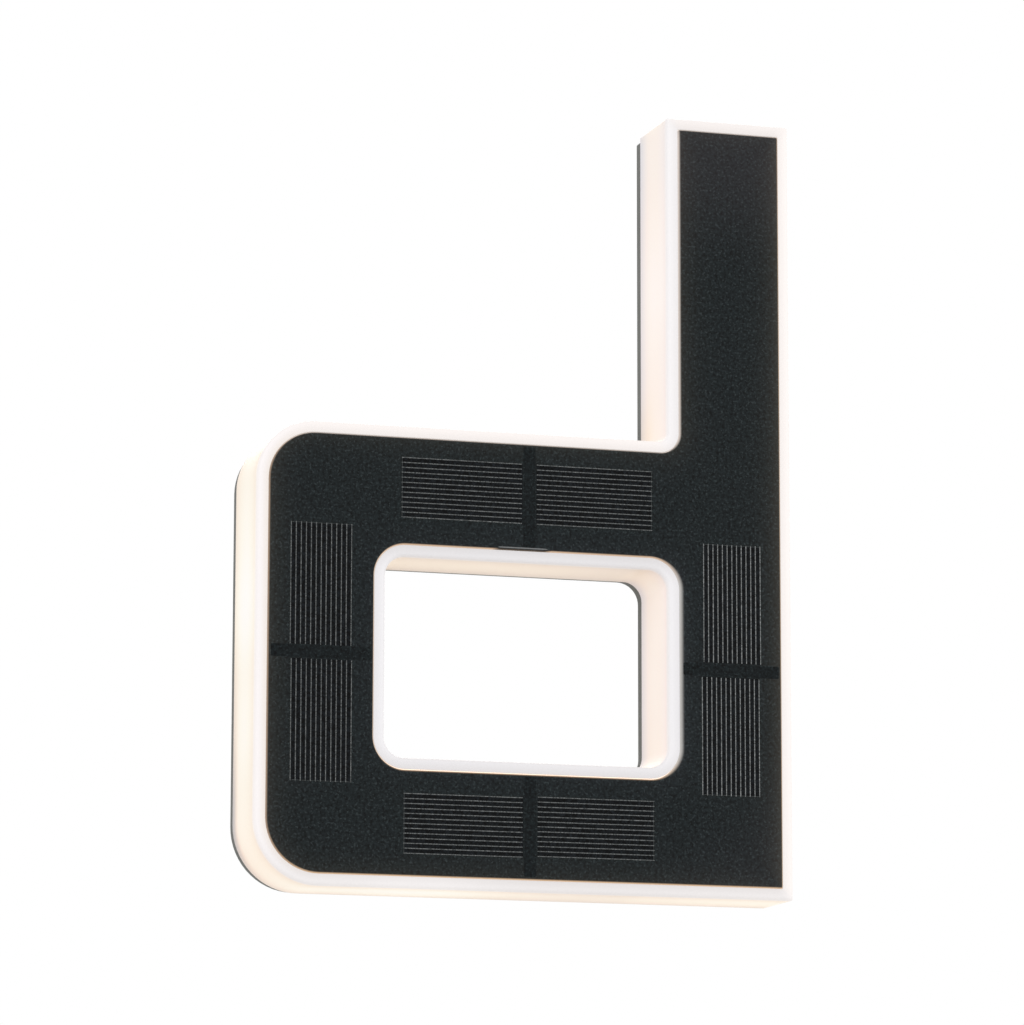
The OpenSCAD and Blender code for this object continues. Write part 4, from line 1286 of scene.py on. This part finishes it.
@dataclass
class FaceBoard:
    """The solar board: a laminate with a bevelled edge, and a pocket for every cell."""

    letter: Letter
    bevel: float = 0.4
    # The bevel as shares of its size: (further in, further back) from the rim's front
    bevel_steps: tuple[tuple[float, float], ...] = (
        (0, 2.2), (0, 1), (0.15, 0.6), (0.6, 0.15), (1, 0))
    rear_edge: float = 0.1
    face_drop: float = 0.02
    pocket: float = 0.46
    point_spacing: float = 2.5
    border: tuple[float, ...] = (0.55, 0.75, 1.0, 1.5, 2.5)
    ridge_from: float = 61.8
    ridge_to: float = 75.1
    ridge_wide: float = 0.34
    ridge_points: int = 41
    ridge_sides: int = 12
    ridge_power: int = 8
    ridge_gap: float = 0.05
    ridge_sunk: float = 0.04
    # Painted highlight on the crest of the resin ridge
    ridge_painted_highlight: float = 0.155
    ridge_shade: float = 0.1
    shaded_cosine: float = 0.7
    crest: float = 0.8
    edge_fall: float = 1.2
    least_reach: float = 0.05
    # Painted light along the outer rim and along the window
    rim_painted_light: tuple[float, float, float] = (0.012, 0.010, 0.0075)
    rim_fall: float = 2.4
    right_more: float = 1.8
    left_more: float = 0.6
    window_painted_light: tuple[float, float, float] = (0.012, 0.012, 0.014)
    window_fall: float = 1.8
    window_least: float = 0.4
    # Painted sheen towards the stem's top and the letter's lower right corner, with its tint
    painted_sheen_tint: tuple[float, float, float] = (1.1, 0.85, 0.95)
    stem_painted_sheen: float = 0.011
    stem_painted_sheen_z: tuple[float, float] = (158, 192)
    corner_painted_sheen: float = 0.005
    corner_painted_sheen_x_less_z: tuple[float, float] = (90, 130)

    def build(self, cells: list["SolarCell"]) -> bpy.types.Object:
        """Makes the board as one closed plate.

        Args:
            cells: The cells that its pockets hold.

        Returns:
            The piece.
        """
        s = self.letter
        face = s.face_depth - self.face_drop
        skin = Skin()
        outline, window = s.outline(), s.window()
        section = np.array([
            [s.lip + self.rear_edge, s.board_rear_depth],
            [s.lip, s.board_rear_depth + self.rear_edge],
            *([s.lip + inwards * self.bevel, face - back * self.bevel]
              for inwards, back in self.bevel_steps),
            *([s.lip + inset, face] for inset in self.border)])
        skin.sweep(outline, section)
        skin.sweep(window, section[::-1], -1)
        front, rear = s.lip + self.border[-1], s.lip + self.rear_edge
        pockets = [cell.rim() for cell in cells]
        skin.sheet([outline.loop(front), window.loop(-front), *pockets], face,
                   self.point_spacing)
        skin.sheet([outline.loop(rear), window.loop(-rear)], s.board_rear_depth,
                   forwards=False)
        floor = s.face_depth - self.pocket
        for rim in pockets:
            skin.wall((rim, face), (rim, floor))
            skin.sheet([rim], floor)
        self._ridge(skin, face)
        made = skin.build("face_board", [Finishes.LAMINATE.material])
        keep_glow(made, self.glow(made))
        return made

    def _ridge(self, skin: Skin, face: float) -> None:
        """Adds the low ridge of spare resin over the window: a half ellipse carried along a
        level line, with a half width that falls as sqrt(1 - t^8) to its two ends.

        Args:
            skin: The surface to add to.
            face: Depth of the board's face in mm.
        """
        s = self.letter
        t = np.linspace(-1, 1, self.ridge_points)[:, None]
        x = (self.ridge_from + self.ridge_to) / 2 + t * (self.ridge_to - self.ridge_from) / 2
        turn = full_turn(self.ridge_sides)[None, :]
        taper = 1 - t ** self.ridge_power
        half = self.ridge_wide / 2 * np.sqrt(taper)
        z = s.ring - s.stroke + s.lip + self.bevel + self.ridge_gap + half * np.cos(turn)
        rise = np.where(np.sin(turn) > 0, self.face_drop, self.ridge_sunk)
        skin.grid(place(x + 0 * z, face + rise * np.sin(turn) * taper, z))

    def glow(self, made: bpy.types.Object) -> np.ndarray:
        """Light that comes through the resin at the board's edge, and painted light on the coat.

        The edge light falls from the board's rim inwards as (1 - inset / reach)^1.2, with the
        tone and reach of the ways that the rim faces, and the resin ridge shades it. The painted
        light on the coat is a faint warm tone along the outer rim, exp(-inset / 2.4), a cool one
        along the window, exp(-inset / 1.8), and a faint painted sheen towards the top of the stem
        and the letter's lower right corner. The crest of the resin ridge carries a painted
        highlight.

        Args:
            made: The board.

        Returns:
            (n, 3) linear colours.
        """
        s = self.letter
        spots = Spots.of(made, s)
        shares = [light.share(spots) for light in EDGE_LIGHTS]
        tone = sum(share * light.tone for share, light in zip(shares, EDGE_LIGHTS))
        reach = sum(share * light.reach for share, light in zip(shares, EDGE_LIGHTS))
        past = (spots.inset - s.lip)[:, None]
        near = np.clip(1 - past / np.maximum(reach, self.least_reach), 0, 1)
        shaded = (spots.window & (spots.toward(0, -1) > self.shaded_cosine)
                  & (spots.x > self.ridge_from) & (spots.x < self.ridge_to))
        edge = tone * near ** self.edge_fall * np.where(shaded, self.ridge_shade, 1)[:, None]
        # Painted light along the outer rim and the window, more on some sides
        right, left = spots.toward(1, 0), spots.toward(-1, 0)
        outer = np.where(spots.window, 0, 1 + self.right_more * right + self.left_more * left)
        inner = np.where(spots.window, self.window_least + (1 - self.window_least) * left, 0)
        past = np.clip(past, 0, None)
        rim = (np.exp(-past / self.rim_fall) * outer[:, None] * self.rim_painted_light
               + np.exp(-past / self.window_fall) * inner[:, None] * self.window_painted_light)
        # Painted sheen towards the stem's top and the letter's lower right corner
        far = (self.stem_painted_sheen * smooth(spots.z, *self.stem_painted_sheen_z)
               + self.corner_painted_sheen * smooth(spots.x - spots.z, *self.corner_painted_sheen_x_less_z))
        # Painted highlight along the crest of the resin ridge
        top = spots.depth > s.face_depth - self.crest * self.face_drop
        crest = np.where(top, self.ridge_painted_highlight, 0)
        return edge + rim + crest[:, None] + far[:, None] * self.painted_sheen_tint


def letter_box(node: str) -> tuple[tuple[float, float], ...]:
    """Gives the box of a CAD node in the sizes of the letter.

    Args:
        node: Name of the CAD node.

    Returns:
        The least and the most of x, of depth and of z in mm.
    """
    (x0, y0, z0), (x1, y1, z1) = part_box(node)
    return ((x0 / MM + ORIGIN_X, x1 / MM + ORIGIN_X), (-y1 / MM, -y0 / MM),
            (z0 / MM + ORIGIN_Z, z1 / MM + ORIGIN_Z))


@dataclass
class JointStrips:
    """The dark strips between the cells of each pair, drowned in the board's coat."""

    side_drop: float = 0.1
    end_drop: float = 0.55
    bend: float = 0.5
    slope: float = 0.3
    sunk: float = 0.03
    mid_sunk: float = 0.35
    names: tuple[str, ...] = ("strip_top", "strip_right", "strip_foot", "strip_left")

    def build(self) -> list[tuple[bpy.types.Object, str]]:
        """Makes the strips: flat plates that end short of the board's bevel and whose edges
        slope down into its face.

        Returns:
            Each piece with the CAD node that it stands for.
        """
        made = []
        for node in self.names:
            (x0, x1), (low, high), (z0, z1) = letter_box(node)
            dx, dz = self.side_drop, self.end_drop
            if x1 - x0 > z1 - z0:
                dx, dz = dz, dx
            rim = Outline.box((x0 + dx, x1 - dx), (z0 + dz, z1 - dz), self.bend, bend_points=5)
            section = np.array([
                [0, low], [0, high - self.sunk],
                [self.slope / 2, high - self.mid_sunk * self.sunk], [self.slope, high]])
            skin = Skin()
            skin.sweep(rim, section)
            skin.sheet([rim.loop(0)], low, forwards=False)
            skin.sheet([rim.loop(self.slope)], high)
            piece = skin.build(node.replace("strip", "joint_strip"), [Finishes.TAPE.material])
            keep_glow(piece, np.zeros((len(piece.data.vertices), 3)))
            made.append((piece, node))
        return made


@dataclass
class SolarCell:
    """A silicon wafer with printed collector lines that end in a joining line.

    Attributes:
        place_name: Where the cell lies.
        x: Middle across the letter in mm.
        z: Middle up the letter in mm.
        turn: Turn in shares of a whole turn. At 0, the joining line is at the left.
        length: Length of the wafer and of its lines in mm.
        span: Distance of the outermost lines' middles in mm.
        paste: Finish of the lines.
        margin: Width of the wafer beyond the outermost lines in mm.
        thick: Thickness of the wafer in mm.
        face_depth: Depth of the wafer's face in mm.
        line_high: Height of a line at its middle in mm.
        line_wide: Width of a line in mm.
        join_wide: Width of the joining line in mm.
        line_points: Number of points across a line.
        bead_steps: Number of steps from one bead of paste to the next.
        line_sunk: How far a line's foot lies in the wafer in mm.
        line_end: Distance from a line's end to the wafer's end in mm.
        lines: Number of lines.
        bead: Distance from bead to bead in mm.
        swell: Share by which a line is wider at a bead.
        slim: Share of its width and height that a line's beads add to.
    """

    place_name: str
    x: float
    z: float
    turn: float
    length: float
    span: float
    paste: Finishes
    margin: float = 0.17
    thick: float = 0.4
    face_depth: float = 26.44
    line_high: float = 0.055
    line_wide: float = 0.27
    join_wide: float = 0.18
    line_points: int = 6
    bead_steps: int = 4
    line_sunk: float = 0.02
    line_end: float = 0.03
    lines: int = 13
    bead: float = 0.62
    swell: float = 0.1
    slim: float = 0.9

    @property
    def width(self) -> float:
        """Width of the wafer in mm."""
        return self.span + 2 * self.margin

    def turned(self, along: np.ndarray, across: np.ndarray) -> np.ndarray:
        """Turns places about the cell's middle and moves them to where the cell lies.

        Args:
            along: Places along the cell in mm.
            across: Places across the cell in mm.

        Returns:
            Places across and up the letter in mm, on the last axis.
        """
        t = 2 * math.pi * self.turn
        x = self.x + along * math.cos(t) - across * math.sin(t)
        z = self.z + along * math.sin(t) + across * math.cos(t)
        return np.stack(np.broadcast_arrays(x, z), -1)

    def rim(self) -> np.ndarray:
        """Gives the wafer's outline, with its corners.

        Returns:
            (n, 2) array of places across and up the letter in mm.
        """
        a, b = self.length / 2, self.width / 2
        along = np.array([-a, 0, a, a, a, 0, -a, -a])
        across = np.array([-b, -b, -b, 0, b, b, b, 0])
        return self.turned(along, across)

    def build(self) -> bpy.types.Object:
        """Makes the wafer and its lines.

        A line is a low ridge: across it, height is h sqrt(1 - u^2) for u from -1 to 1, and along
        it, the half width swells as 1 + swell cos(2 pi s / bead), as printed paste does.

        Returns:
            The piece.
        """
        skin = Skin()
        rim = self.rim()
        floor = self.face_depth - self.thick
        skin.sheet([rim], self.face_depth)
        skin.sheet([rim], floor, forwards=False)
        skin.wall((rim, floor), (rim, self.face_depth))
        end, step = self.length / 2 - self.line_end, self.bead / self.bead_steps
        run = np.arange(-end, end, step)
        for middle in np.linspace(-self.span / 2, self.span / 2, self.lines):
            self._ridge(skin, run, middle, self.line_wide, True)
        cross = np.arange(-self.span / 2, self.span / 2, step)
        self._ridge(skin, cross, -self.length / 2 + self.join_wide, self.join_wide, False)
        return skin.build(f"wafer_{self.place_name}", [
            Finishes.WAFER.material, self.paste.material, Finishes.THIN_SILVER.material])

    def _ridge(self, skin: Skin, run: np.ndarray, middle: float, wide: float,
               lengthways: bool) -> None:
        """Adds one closed ridge.

        Args:
            skin: The surface to add to.
            run: Places along the ridge in mm.
            middle: Its place across in mm.
            wide: Its width in mm.
            lengthways: Whether it runs along the cell.
        """
        u = np.cos(np.linspace(0, math.pi, self.line_points))[None, :]
        s = run[:, None]
        swell = 1 + self.swell * np.cos(2 * math.pi * (s + middle) / self.bead)
        side = middle + u * wide / 2 * self.slim * swell
        tall = self.slim + (1 - self.slim) * swell / (1 + self.swell)
        high = self.face_depth + self.line_high * (wide / self.line_wide) * np.sqrt(
            np.clip(1 - u * u, 0, 1)) * tall
        flat = self.turned(*((s, side) if lengthways else (side, s)))
        top = place(flat[..., 0], high, flat[..., 1])
        foot = place(flat[..., 0], self.face_depth - self.line_sunk, flat[..., 1])[:, ::-1]
        ring = np.concatenate([top, foot], 1)
        ends = [np.repeat(ring[[k]].mean(1, keepdims=True), ring.shape[1], 1) for k in (0, -1)]
        skin.grid(np.concatenate([ends[0], ring, ends[1]]), finish=1 if lengthways else 2)


@dataclass
class CellSet:
    """The eight cells, two on each side of the ring, laid by hand and so a little off."""

    letter: Letter
    strip: float = 3.5
    gap: float = 0.15
    length: float = 31.0
    width: float = 15.4

    def cells(self) -> list[SolarCell]:
        """The cells with their places, lengths and lines.

        Returns:
            One cell for each of the eight CAD nodes.
        """
        s = self.letter
        half = (self.strip + self.length) / 2 + self.gap
        mid_x, mid_z = s.width / 2, s.ring / 2
        right, left = s.width - s.stroke / 2, s.stroke / 2
        top, foot = s.ring - s.stroke / 2, s.foot / 2
        # thick is the paste of the right cells, whose paler tones are a painted sheen
        dull, thick = Finishes.SILVER, Finishes.SILVER_PAINTED_SHEEN
        # Name, middle, turn, hand-laid shift as shares of the width, length, span, paste
        rows = [
            ("top_left", mid_x - half, top, 0, -0.003, 0.055, 31.5, 15.06, dull),
            ("top_right", mid_x + half, top, 0.5, -0.010, 0.055, 30.7, 15.06, dull),
            ("right_upper", right, mid_z + half, 0.75, 0.021, -0.042, 30.4, 15.16, thick),
            ("right_lower", right, mid_z - half, 0.25, -0.011, 0.026, 30.1, 15.16, thick),
            ("foot_right", mid_x + half, foot, 0.5, 0.014, 0.008, 30.6, 14.76, dull),
            ("foot_left", mid_x - half, foot, 0, 0.039, -0.013, 30.9, 14.76, dull),
            ("left_lower", left, mid_z - half, 0.25, 0.007, 0.014, 30.3, 15.36, dull),
            ("left_upper", left, mid_z + half, 0.75, -0.009, -0.039, 30.6, 15.46, dull)]
        return [SolarCell(n, x + dx * self.width, z + dz * self.width, t, long, span, paste)
                for n, x, z, t, dx, dz, long, span, paste in rows]


@dataclass
class Seals:
    """The gasket between cover and body, and the one under the battery door."""

    letter: Letter
    inset: float = 0.7
    bulge: float = 0.06
    bulge_points: int = 7
    door_width: float = 1.05
    door_bend: float = 0.3

    def build(self) -> list[tuple[bpy.types.Object, str, str]]:
        """Makes both gaskets, whose free edges swell a little under the clamping.

        Returns:
            Each piece with the body that it rides on and the CAD node that it stands for.
        """
        s = self.letter
        low, high = s.cover_edge_depth, s.body_depth
        housing = Skin()
        section = self._section(self.inset, s.wall, low, high)
        housing.sweep(s.outline(cover=True), section, closed=True)
        housing.sweep(s.window(), section[::-1], -1, closed=True)
        door = Skin()
        x, depth, z = letter_box("door_seal")
        door.sweep(Outline.box(x, z, self.door_bend, bend_points=5),
                   self._section(0, self.door_width, *depth), closed=True)
        material = [Finishes.EPDM.material]
        return [(housing.build("housing_gasket", material), "sign", "cover_seal"),
                (door.build("door_gasket", material), "battery_door", "door_seal")]

    def _section(self, outer: float, inner: float, low: float, high: float) -> np.ndarray:
        """Works out a closed section whose outer edge bulges as a half circle pressed flat.

        Args:
            outer: Inset of its outer edge in mm.
            inner: Inset of its inner edge in mm.
            low: Depth of its rear face in mm.
            high: Depth of its front face in mm.

        Returns:
            (rows, 2) array of inset and depth in mm.
        """
        t = np.linspace(-math.pi / 2, math.pi / 2, self.bulge_points)
        mid, half = (low + high) / 2, (high - low) / 2
        edge = np.stack([outer + self.bulge * (1 - np.cos(t)), mid + half * np.sin(t)], 1)
        return np.concatenate([[[inner, low]], edge, [[inner, high]]])


@dataclass
class Wiring:
    """The insulated leads inside the body, bent round at their corners."""

    width: float = 1.2
    bend: float = 1.6
    bend_points: int = 7
    # Depths of the control board, the solar board, the lamp boards and the leads' two runs
    control: float = 8.0
    panel: float = 24.7
    lamps: float = 3.2
    low_run: float = 5.36
    high_run: float = 10.04
    cell_run: float = 10.1
    # Least length of a step of the path in mm
    least_step: float = 1e-6

    def routes(self) -> dict[str, list[np.ndarray]]:
        """Points of each lead as x, depth and z in mm, by CAD node, as in the CAD source.

        Returns:
            A list of (n, 3) arrays for each node.
        """
        board, lamps, low, high, cell = (
            self.control, self.lamps, self.low_run, self.high_run, self.cell_run)
        x, depth, z = range(3)
        return {
            "panel_leads": [self._route((at, board, 69.8), (depth, self.panel))
                            for at in (119.13, 120.57)],
            "battery_leads": [
                self._route((116.2, cell, 179.3), (z, 69.8), (depth, board)),
                self._route((119.2, cell, 120.3), (z, 72.8), (depth, board))],
            "lamp_leads": [
                self._route((113.75, board, 40.0), (depth, high), (z, 16.15), (x, 93.6),
                            (depth, lamps)),
                self._route((30.4, lamps, 16.15), (depth, low), (x, 16.5), (z, 20.55),
                            (depth, lamps)),
                self._route((16.5, lamps, 76.75), (depth, low), (x, 28.45), (z, 99.0),
                            (x, 38.4), (depth, lamps)),
                self._route((101.6, lamps, 99.0), (depth, low), (x, 113.05), (z, 121.4),
                            (depth, lamps))],
        }

    @staticmethod
    def _route(start: tuple[float, ...], *moves: tuple[int, float]) -> np.ndarray:
        """Points of a lead that runs along one direction at a time.

        Args:
            start: x, depth and z of its start in mm.
            moves: Which of the three changes next, and what it becomes.

        Returns:
            An (n, 3) array in mm.
        """
        points = [np.array(start)]
        for which, value in moves:
            points.append(np.where(np.arange(3) == which, value, points[-1]))
        return np.array(points)

    def smooth_path(self, points: np.ndarray) -> np.ndarray:
        """Rounds a route's corners: at each, the path follows a^2 p + 2 a b q + b^2 r through
        points p and r on the two sides, a bend away from the corner q, with a + b = 1.

        Args:
            points: (n, 3) array of x, depth and z in mm.

        Returns:
            The path in the shared frame, in metres.
        """
        parts = [points[:1]]
        b = np.linspace(0, 1, self.bend_points)[:, None]
        for before, at, after in zip(points, points[1:], points[2:]):
            back, on = before - at, after - at
            reach = min(self.bend, np.linalg.norm(back) / 2, np.linalg.norm(on) / 2)
            p = at + back / np.linalg.norm(back) * reach
            r = at + on / np.linalg.norm(on) * reach
            parts.append((1 - b) ** 2 * p + 2 * b * (1 - b) * at + b ** 2 * r)
        path = np.concatenate([*parts, points[-1:]])
        step = np.linalg.norm(np.diff(path, axis=0), axis=1)
        path = path[np.concatenate([[True], step > self.least_step])]
        return place(path[:, 0], path[:, 1], path[:, 2])

    def build(self) -> list[tuple[bpy.types.Object, str]]:
        """Makes the leads of each node.

        Returns:
            Each piece with the CAD node that it stands for.
        """
        made = []
        for node, routes in self.routes().items():
            skin = Skin()
            for points in routes:
                skin.tube(self.smooth_path(points), self.width)
            made.append((skin.build(f"insulated_{node}", [Finishes.INSULATION.material]), node))
        return made


@dataclass
class PowerCell:
    """The rechargeable cell with its sleeve, its spring and the spring's plate."""

    x: float = 126.75
    depth: float = 10.1
    floor: float = 122.3
    gap: float = 0.8
    spring_length: float = 5.0
    width: float = 14.2
    length: float = 49.2
    nub: float = 5.5
    nub_high: float = 1.2
    nub_edge: float = 0.2
    # The sleeve's rolled edges: (from the cell's end, below its full radius)
    low_roll: tuple[tuple[float, float], ...] = (
        (0.25, 1.6), (0.25, 0.5), (0.4, 0.12), (0.8, 0))
    top_roll: tuple[tuple[float, float], ...] = (
        (1.0, 0), (0.45, 0.15), (0.25, 0.6), (0.25, 1.9))
    low_plate: float = 1.7
    # The cap's step up to its nub: (past the cell's end, beyond the nub's radius)
    cap_step: tuple[tuple[float, float], ...] = ((-0.3, 0.7), (0, 0.2), (0.1, 0))
    cell_sides: int = 64
    wire: float = 0.7
    wire_sides: int = 12
    turns: int = 4
    turn_points: int = 28
    wide_turn: float = 0.36
    narrow_turn: float = 0.22
    plate: float = 9.0
    plate_bend: float = 0.8
    plate_points: int = 32
    # Turn in radians that keeps every point off the middles of the plate's sides
    plate_turn: float = 0.01
    plate_edge: float = 0.05
    plate_shrink: float = 0.97

    def build_cell(self) -> bpy.types.Object:
        """Makes the cell: a turned profile with the sleeve's rolled edges, and the nub.

        Returns:
            The piece.
        """
        r, h, n = self.width / 2, self.length, self.nub / 2
        end = h + self.nub_high
        low = [[along, r - less] for along, less in self.low_roll]
        top = [[h - along, r - less] for along, less in self.top_roll]
        cap = [[h + along, n + more] for along, more in self.cap_step]
        metal_low = [[0, 0], [0, r - self.low_plate], low[0]]
        metal_top = [top[-1], *cap, [end - self.nub_edge, n], [end, n - self.nub_edge], [end, 0]]
        start = place(np.float64(self.x), self.depth,
                      np.float64(self.floor + self.gap + self.spring_length))
        skin = Skin()
        for profile, finish in ((metal_low, 1), (low + top, 0), (metal_top, 1)):
            skin.revolve(np.array(profile), start, np.array([0, 0, 1.0]),
                         self.cell_sides, finish)
        return skin.build("power_cell", [Finishes.SLEEVE.material, Finishes.NICKEL.material])

    def build_spring(self) -> bpy.types.Object:
        """Makes the spring: a wire along (r cos t, r sin t, rising with t), with r shrinking, on a
        square plate with rounded corners.

        Returns:
            The piece.
        """
        share = np.linspace(0, 1, self.turn_points * self.turns + 1)
        t = 2 * math.pi * self.turns * share
        r = self.width * (self.wide_turn + share * (self.narrow_turn - self.wide_turn))
        z = self.floor + self.gap + self.wire / 2 + share * (self.spring_length - self.wire)
        skin = Skin()
        skin.tube(place(self.x + r * np.cos(t), self.depth - r * np.sin(t), z), self.wire,
                  self.wire_sides)
        half, bend = self.plate / 2, self.plate_bend
        turn = full_turn(self.plate_points) + self.plate_turn
        across = np.sign(np.cos(turn)) * (half - bend) + bend * np.cos(turn)
        along = np.sign(np.sin(turn)) * (half - bend) + bend * np.sin(turn)
        edge, less = self.plate_edge, self.plate_shrink
        rows = [(0, 0), (0, less), (edge, 1), (self.gap - edge, 1), (self.gap, less),
                (self.gap, 0)]
        skin.grid(np.stack([place(self.x + across * size, self.depth + along * size,
                                  self.floor + high) for high, size in rows]))
        return skin.build("spring_and_plate", [Finishes.NICKEL.material])


# CAD nodes that keep their own shape, by finish
CARRIED = {
    Finishes.ABS: ("rear_cover", "battery_door"),
    Finishes.STEEL: ("cover_screws", "board_screws", "door_screws"),
    Finishes.SILICONE: ("panel_adhesive",),
    Finishes.WHITE_MASK: tuple(f"lamp_board_{side}" for side in ("left", "foot", "top", "stem")),
    Finishes.PHOSPHOR: tuple(f"lamps_{side}" for side in ("left", "foot", "top", "stem", "right")),
    Finishes.GREEN_MASK: ("control_board",),
    Finishes.EPOXY: ("control_parts", "switch_body"),
    Finishes.NYLON: ("switch_knob",),
    Finishes.NICKEL: ("battery_contact",),
}


def dress_carried(nodes: dict[str, bpy.types.Object]) -> None:
    """Gives every carried CAD node its finish, through its object's own material slots.

    Args:
        nodes: The CAD nodes by name.
    """
    for finish, names in CARRIED.items():
        for piece in (nodes[name] for name in names):
            if not piece.material_slots:
                piece.data.materials.append(finish.material)
            for slot in piece.material_slots:
                slot.link = "OBJECT"
                slot.material = finish.material
        log.info("%s: CAD shapes, finish %s", ", ".join(names), finish.value.name)


# --------------------------------------------------------------------------- studio


@dataclass
class Studio:
    """The pale floor, the soft light, the white surroundings and the camera, in metres and
    radians, with the lens and its sensor in mm."""

    floor_z: float = -0.5
    floor_half: float = 2.5
    floor_points: int = 41
    sky: float = 0.72
    lens: float = 175.478
    sensor: float = 36.0
    clip: tuple[float, float] = (0.01, 50.0)
    yaw: float = 0.29918
    pitch: float = 0.1747
    roll: float = 0.00196
    eye: tuple[float, float, float] = (-0.36711, -1.20227, -0.21823)

    def build(self) -> None:
        """Builds everything round the object."""
        self._world()
        self._floor()
        self._lights()
        self._camera()

    @staticmethod
    def _seen(tree: bpy.types.NodeTree) -> bpy.types.NodeSocket:
        """Tells seen light from light that only falls on the sign.

        Args:
            tree: The node tree to add to.

        Returns:
            1 for rays from the camera and for mirrored or passed rays, else 0.
        """
        rays = add_node(tree, "ShaderNodeLightPath").outputs
        seen = rays["Is Camera Ray"]
        for ray in ("Is Glossy Ray", "Is Transmission Ray"):
            seen = add_node(tree, "ShaderNodeMath", {0: seen, 1: rays[ray]},
                            operation="MAXIMUM").outputs[0]
        return seen

    def _world(self) -> None:
        """White as seen, and a plain soft sky as light."""
        world = bpy.data.worlds.new("studio")
        bpy.context.scene.world = world
        world.use_nodes = True
        tree = world.node_tree
        tree.nodes.clear()
        light = add_node(tree, "ShaderNodeBackground",
                         values={"Color": linear("#ffffff"), "Strength": self.sky})
        white = add_node(tree, "ShaderNodeBackground",
                         values={"Color": linear("#ffffff"), "Strength": 1.0})
        mixed = add_node(tree, "ShaderNodeMixShader", {
            0: self._seen(tree), 1: light.outputs[0], 2: white.outputs[0]})
        add_node(tree, "ShaderNodeOutputWorld", {"Surface": mixed.outputs[0]})

    def _floor(self) -> None:
        """A flat pale floor below the sign."""
        line = np.linspace(-self.floor_half, self.floor_half, self.floor_points)
        x, y = np.meshgrid(line, line)
        skin = Skin()
        skin.grid(np.stack([x, y, np.full_like(x, self.floor_z)], -1), around=False)
        skin.build("floor", [Finishes.PLASTER.material])

    def _lights(self) -> None:
        """Large soft lamps: one over the left front, one low from the right, one behind."""
        # Name, place in metres, power in watts and width in metres
        rows = [("key", (-1.1, -1.6, 1.3), 14.0, 1.6), ("fill", (1.5, -1.2, 0.3), 5.0, 1.4),
                ("back", (0.6, 1.8, 0.9), 12.0, 1.6)]
        for name, spot, power, size in rows:
            lamp = bpy.data.lights.new(name, "AREA")
            lamp.energy, lamp.size = power, size
            made = bpy.data.objects.new(name, lamp)
            made.location = spot
            made.rotation_mode = "QUATERNION"
            made.rotation_quaternion = (-Vector(spot)).to_track_quat("-Z", "Y")
            bpy.context.scene.collection.objects.link(made)

    def _camera(self) -> None:
        """The photograph's camera, from its yaw, pitch and roll."""
        cy, sy = math.cos(self.yaw), math.sin(self.yaw)
        cp, sp = math.cos(self.pitch), math.sin(self.pitch)
        cr, sr = math.cos(self.roll), math.sin(self.roll)
        ahead = np.array([sy * cp, cy * cp, sp])
        level = np.array([cy, -sy, 0.0])
        up = np.cross(level, ahead)
        right, top = level * cr + up * sr, -level * sr + up * cr
        lens = bpy.data.cameras.new("camera")
        lens.lens, lens.sensor_width = self.lens, self.sensor
        lens.clip_start, lens.clip_end = self.clip
        made = bpy.data.objects.new("camera", lens)
        rows = np.eye(4)
        rows[:3, 0], rows[:3, 1], rows[:3, 2], rows[:3, 3] = right, top, -ahead, self.eye
        made.matrix_world = Matrix(rows.tolist())
        bpy.context.scene.collection.objects.link(made)
        bpy.context.scene.camera = made


def main() -> None:
    """Loads the frame, builds and dresses the sign, and sets up the studio."""
    logging.basicConfig(level=logging.INFO, format="%(name)s: %(message)s")
    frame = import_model()
    bpy.context.scene.view_settings.view_transform = "Standard"
    letter = Letter()
    keep_piece(OpalBody(letter).build(), "sign", "opal_acrylic", "opal_body")
    cells = CellSet(letter).cells()
    keep_piece(FaceBoard(letter).build(cells), "sign", "dark_laminate", "solar_board")
    for cell in cells:
        keep_piece(cell.build(), "sign", "silicon_cell", f"cell_{cell.place_name}")
    for piece, node in JointStrips().build():
        keep_piece(piece, "sign", "joint_strip", node)
    for piece, body, node in Seals(letter).build():
        keep_piece(piece, body, "black_epdm", node)
    for piece, node in Wiring().build():
        keep_piece(piece, "sign", "lead_insulation", node)
    power = PowerCell()
    keep_piece(power.build_cell(), "sign", "battery_sleeve", "battery")
    keep_piece(power.build_spring(), "sign", "nickel_spring", "battery_spring")
    dress_carried(frame["nodes"])
    Studio().build()


if __name__ == "__main__":
    main()
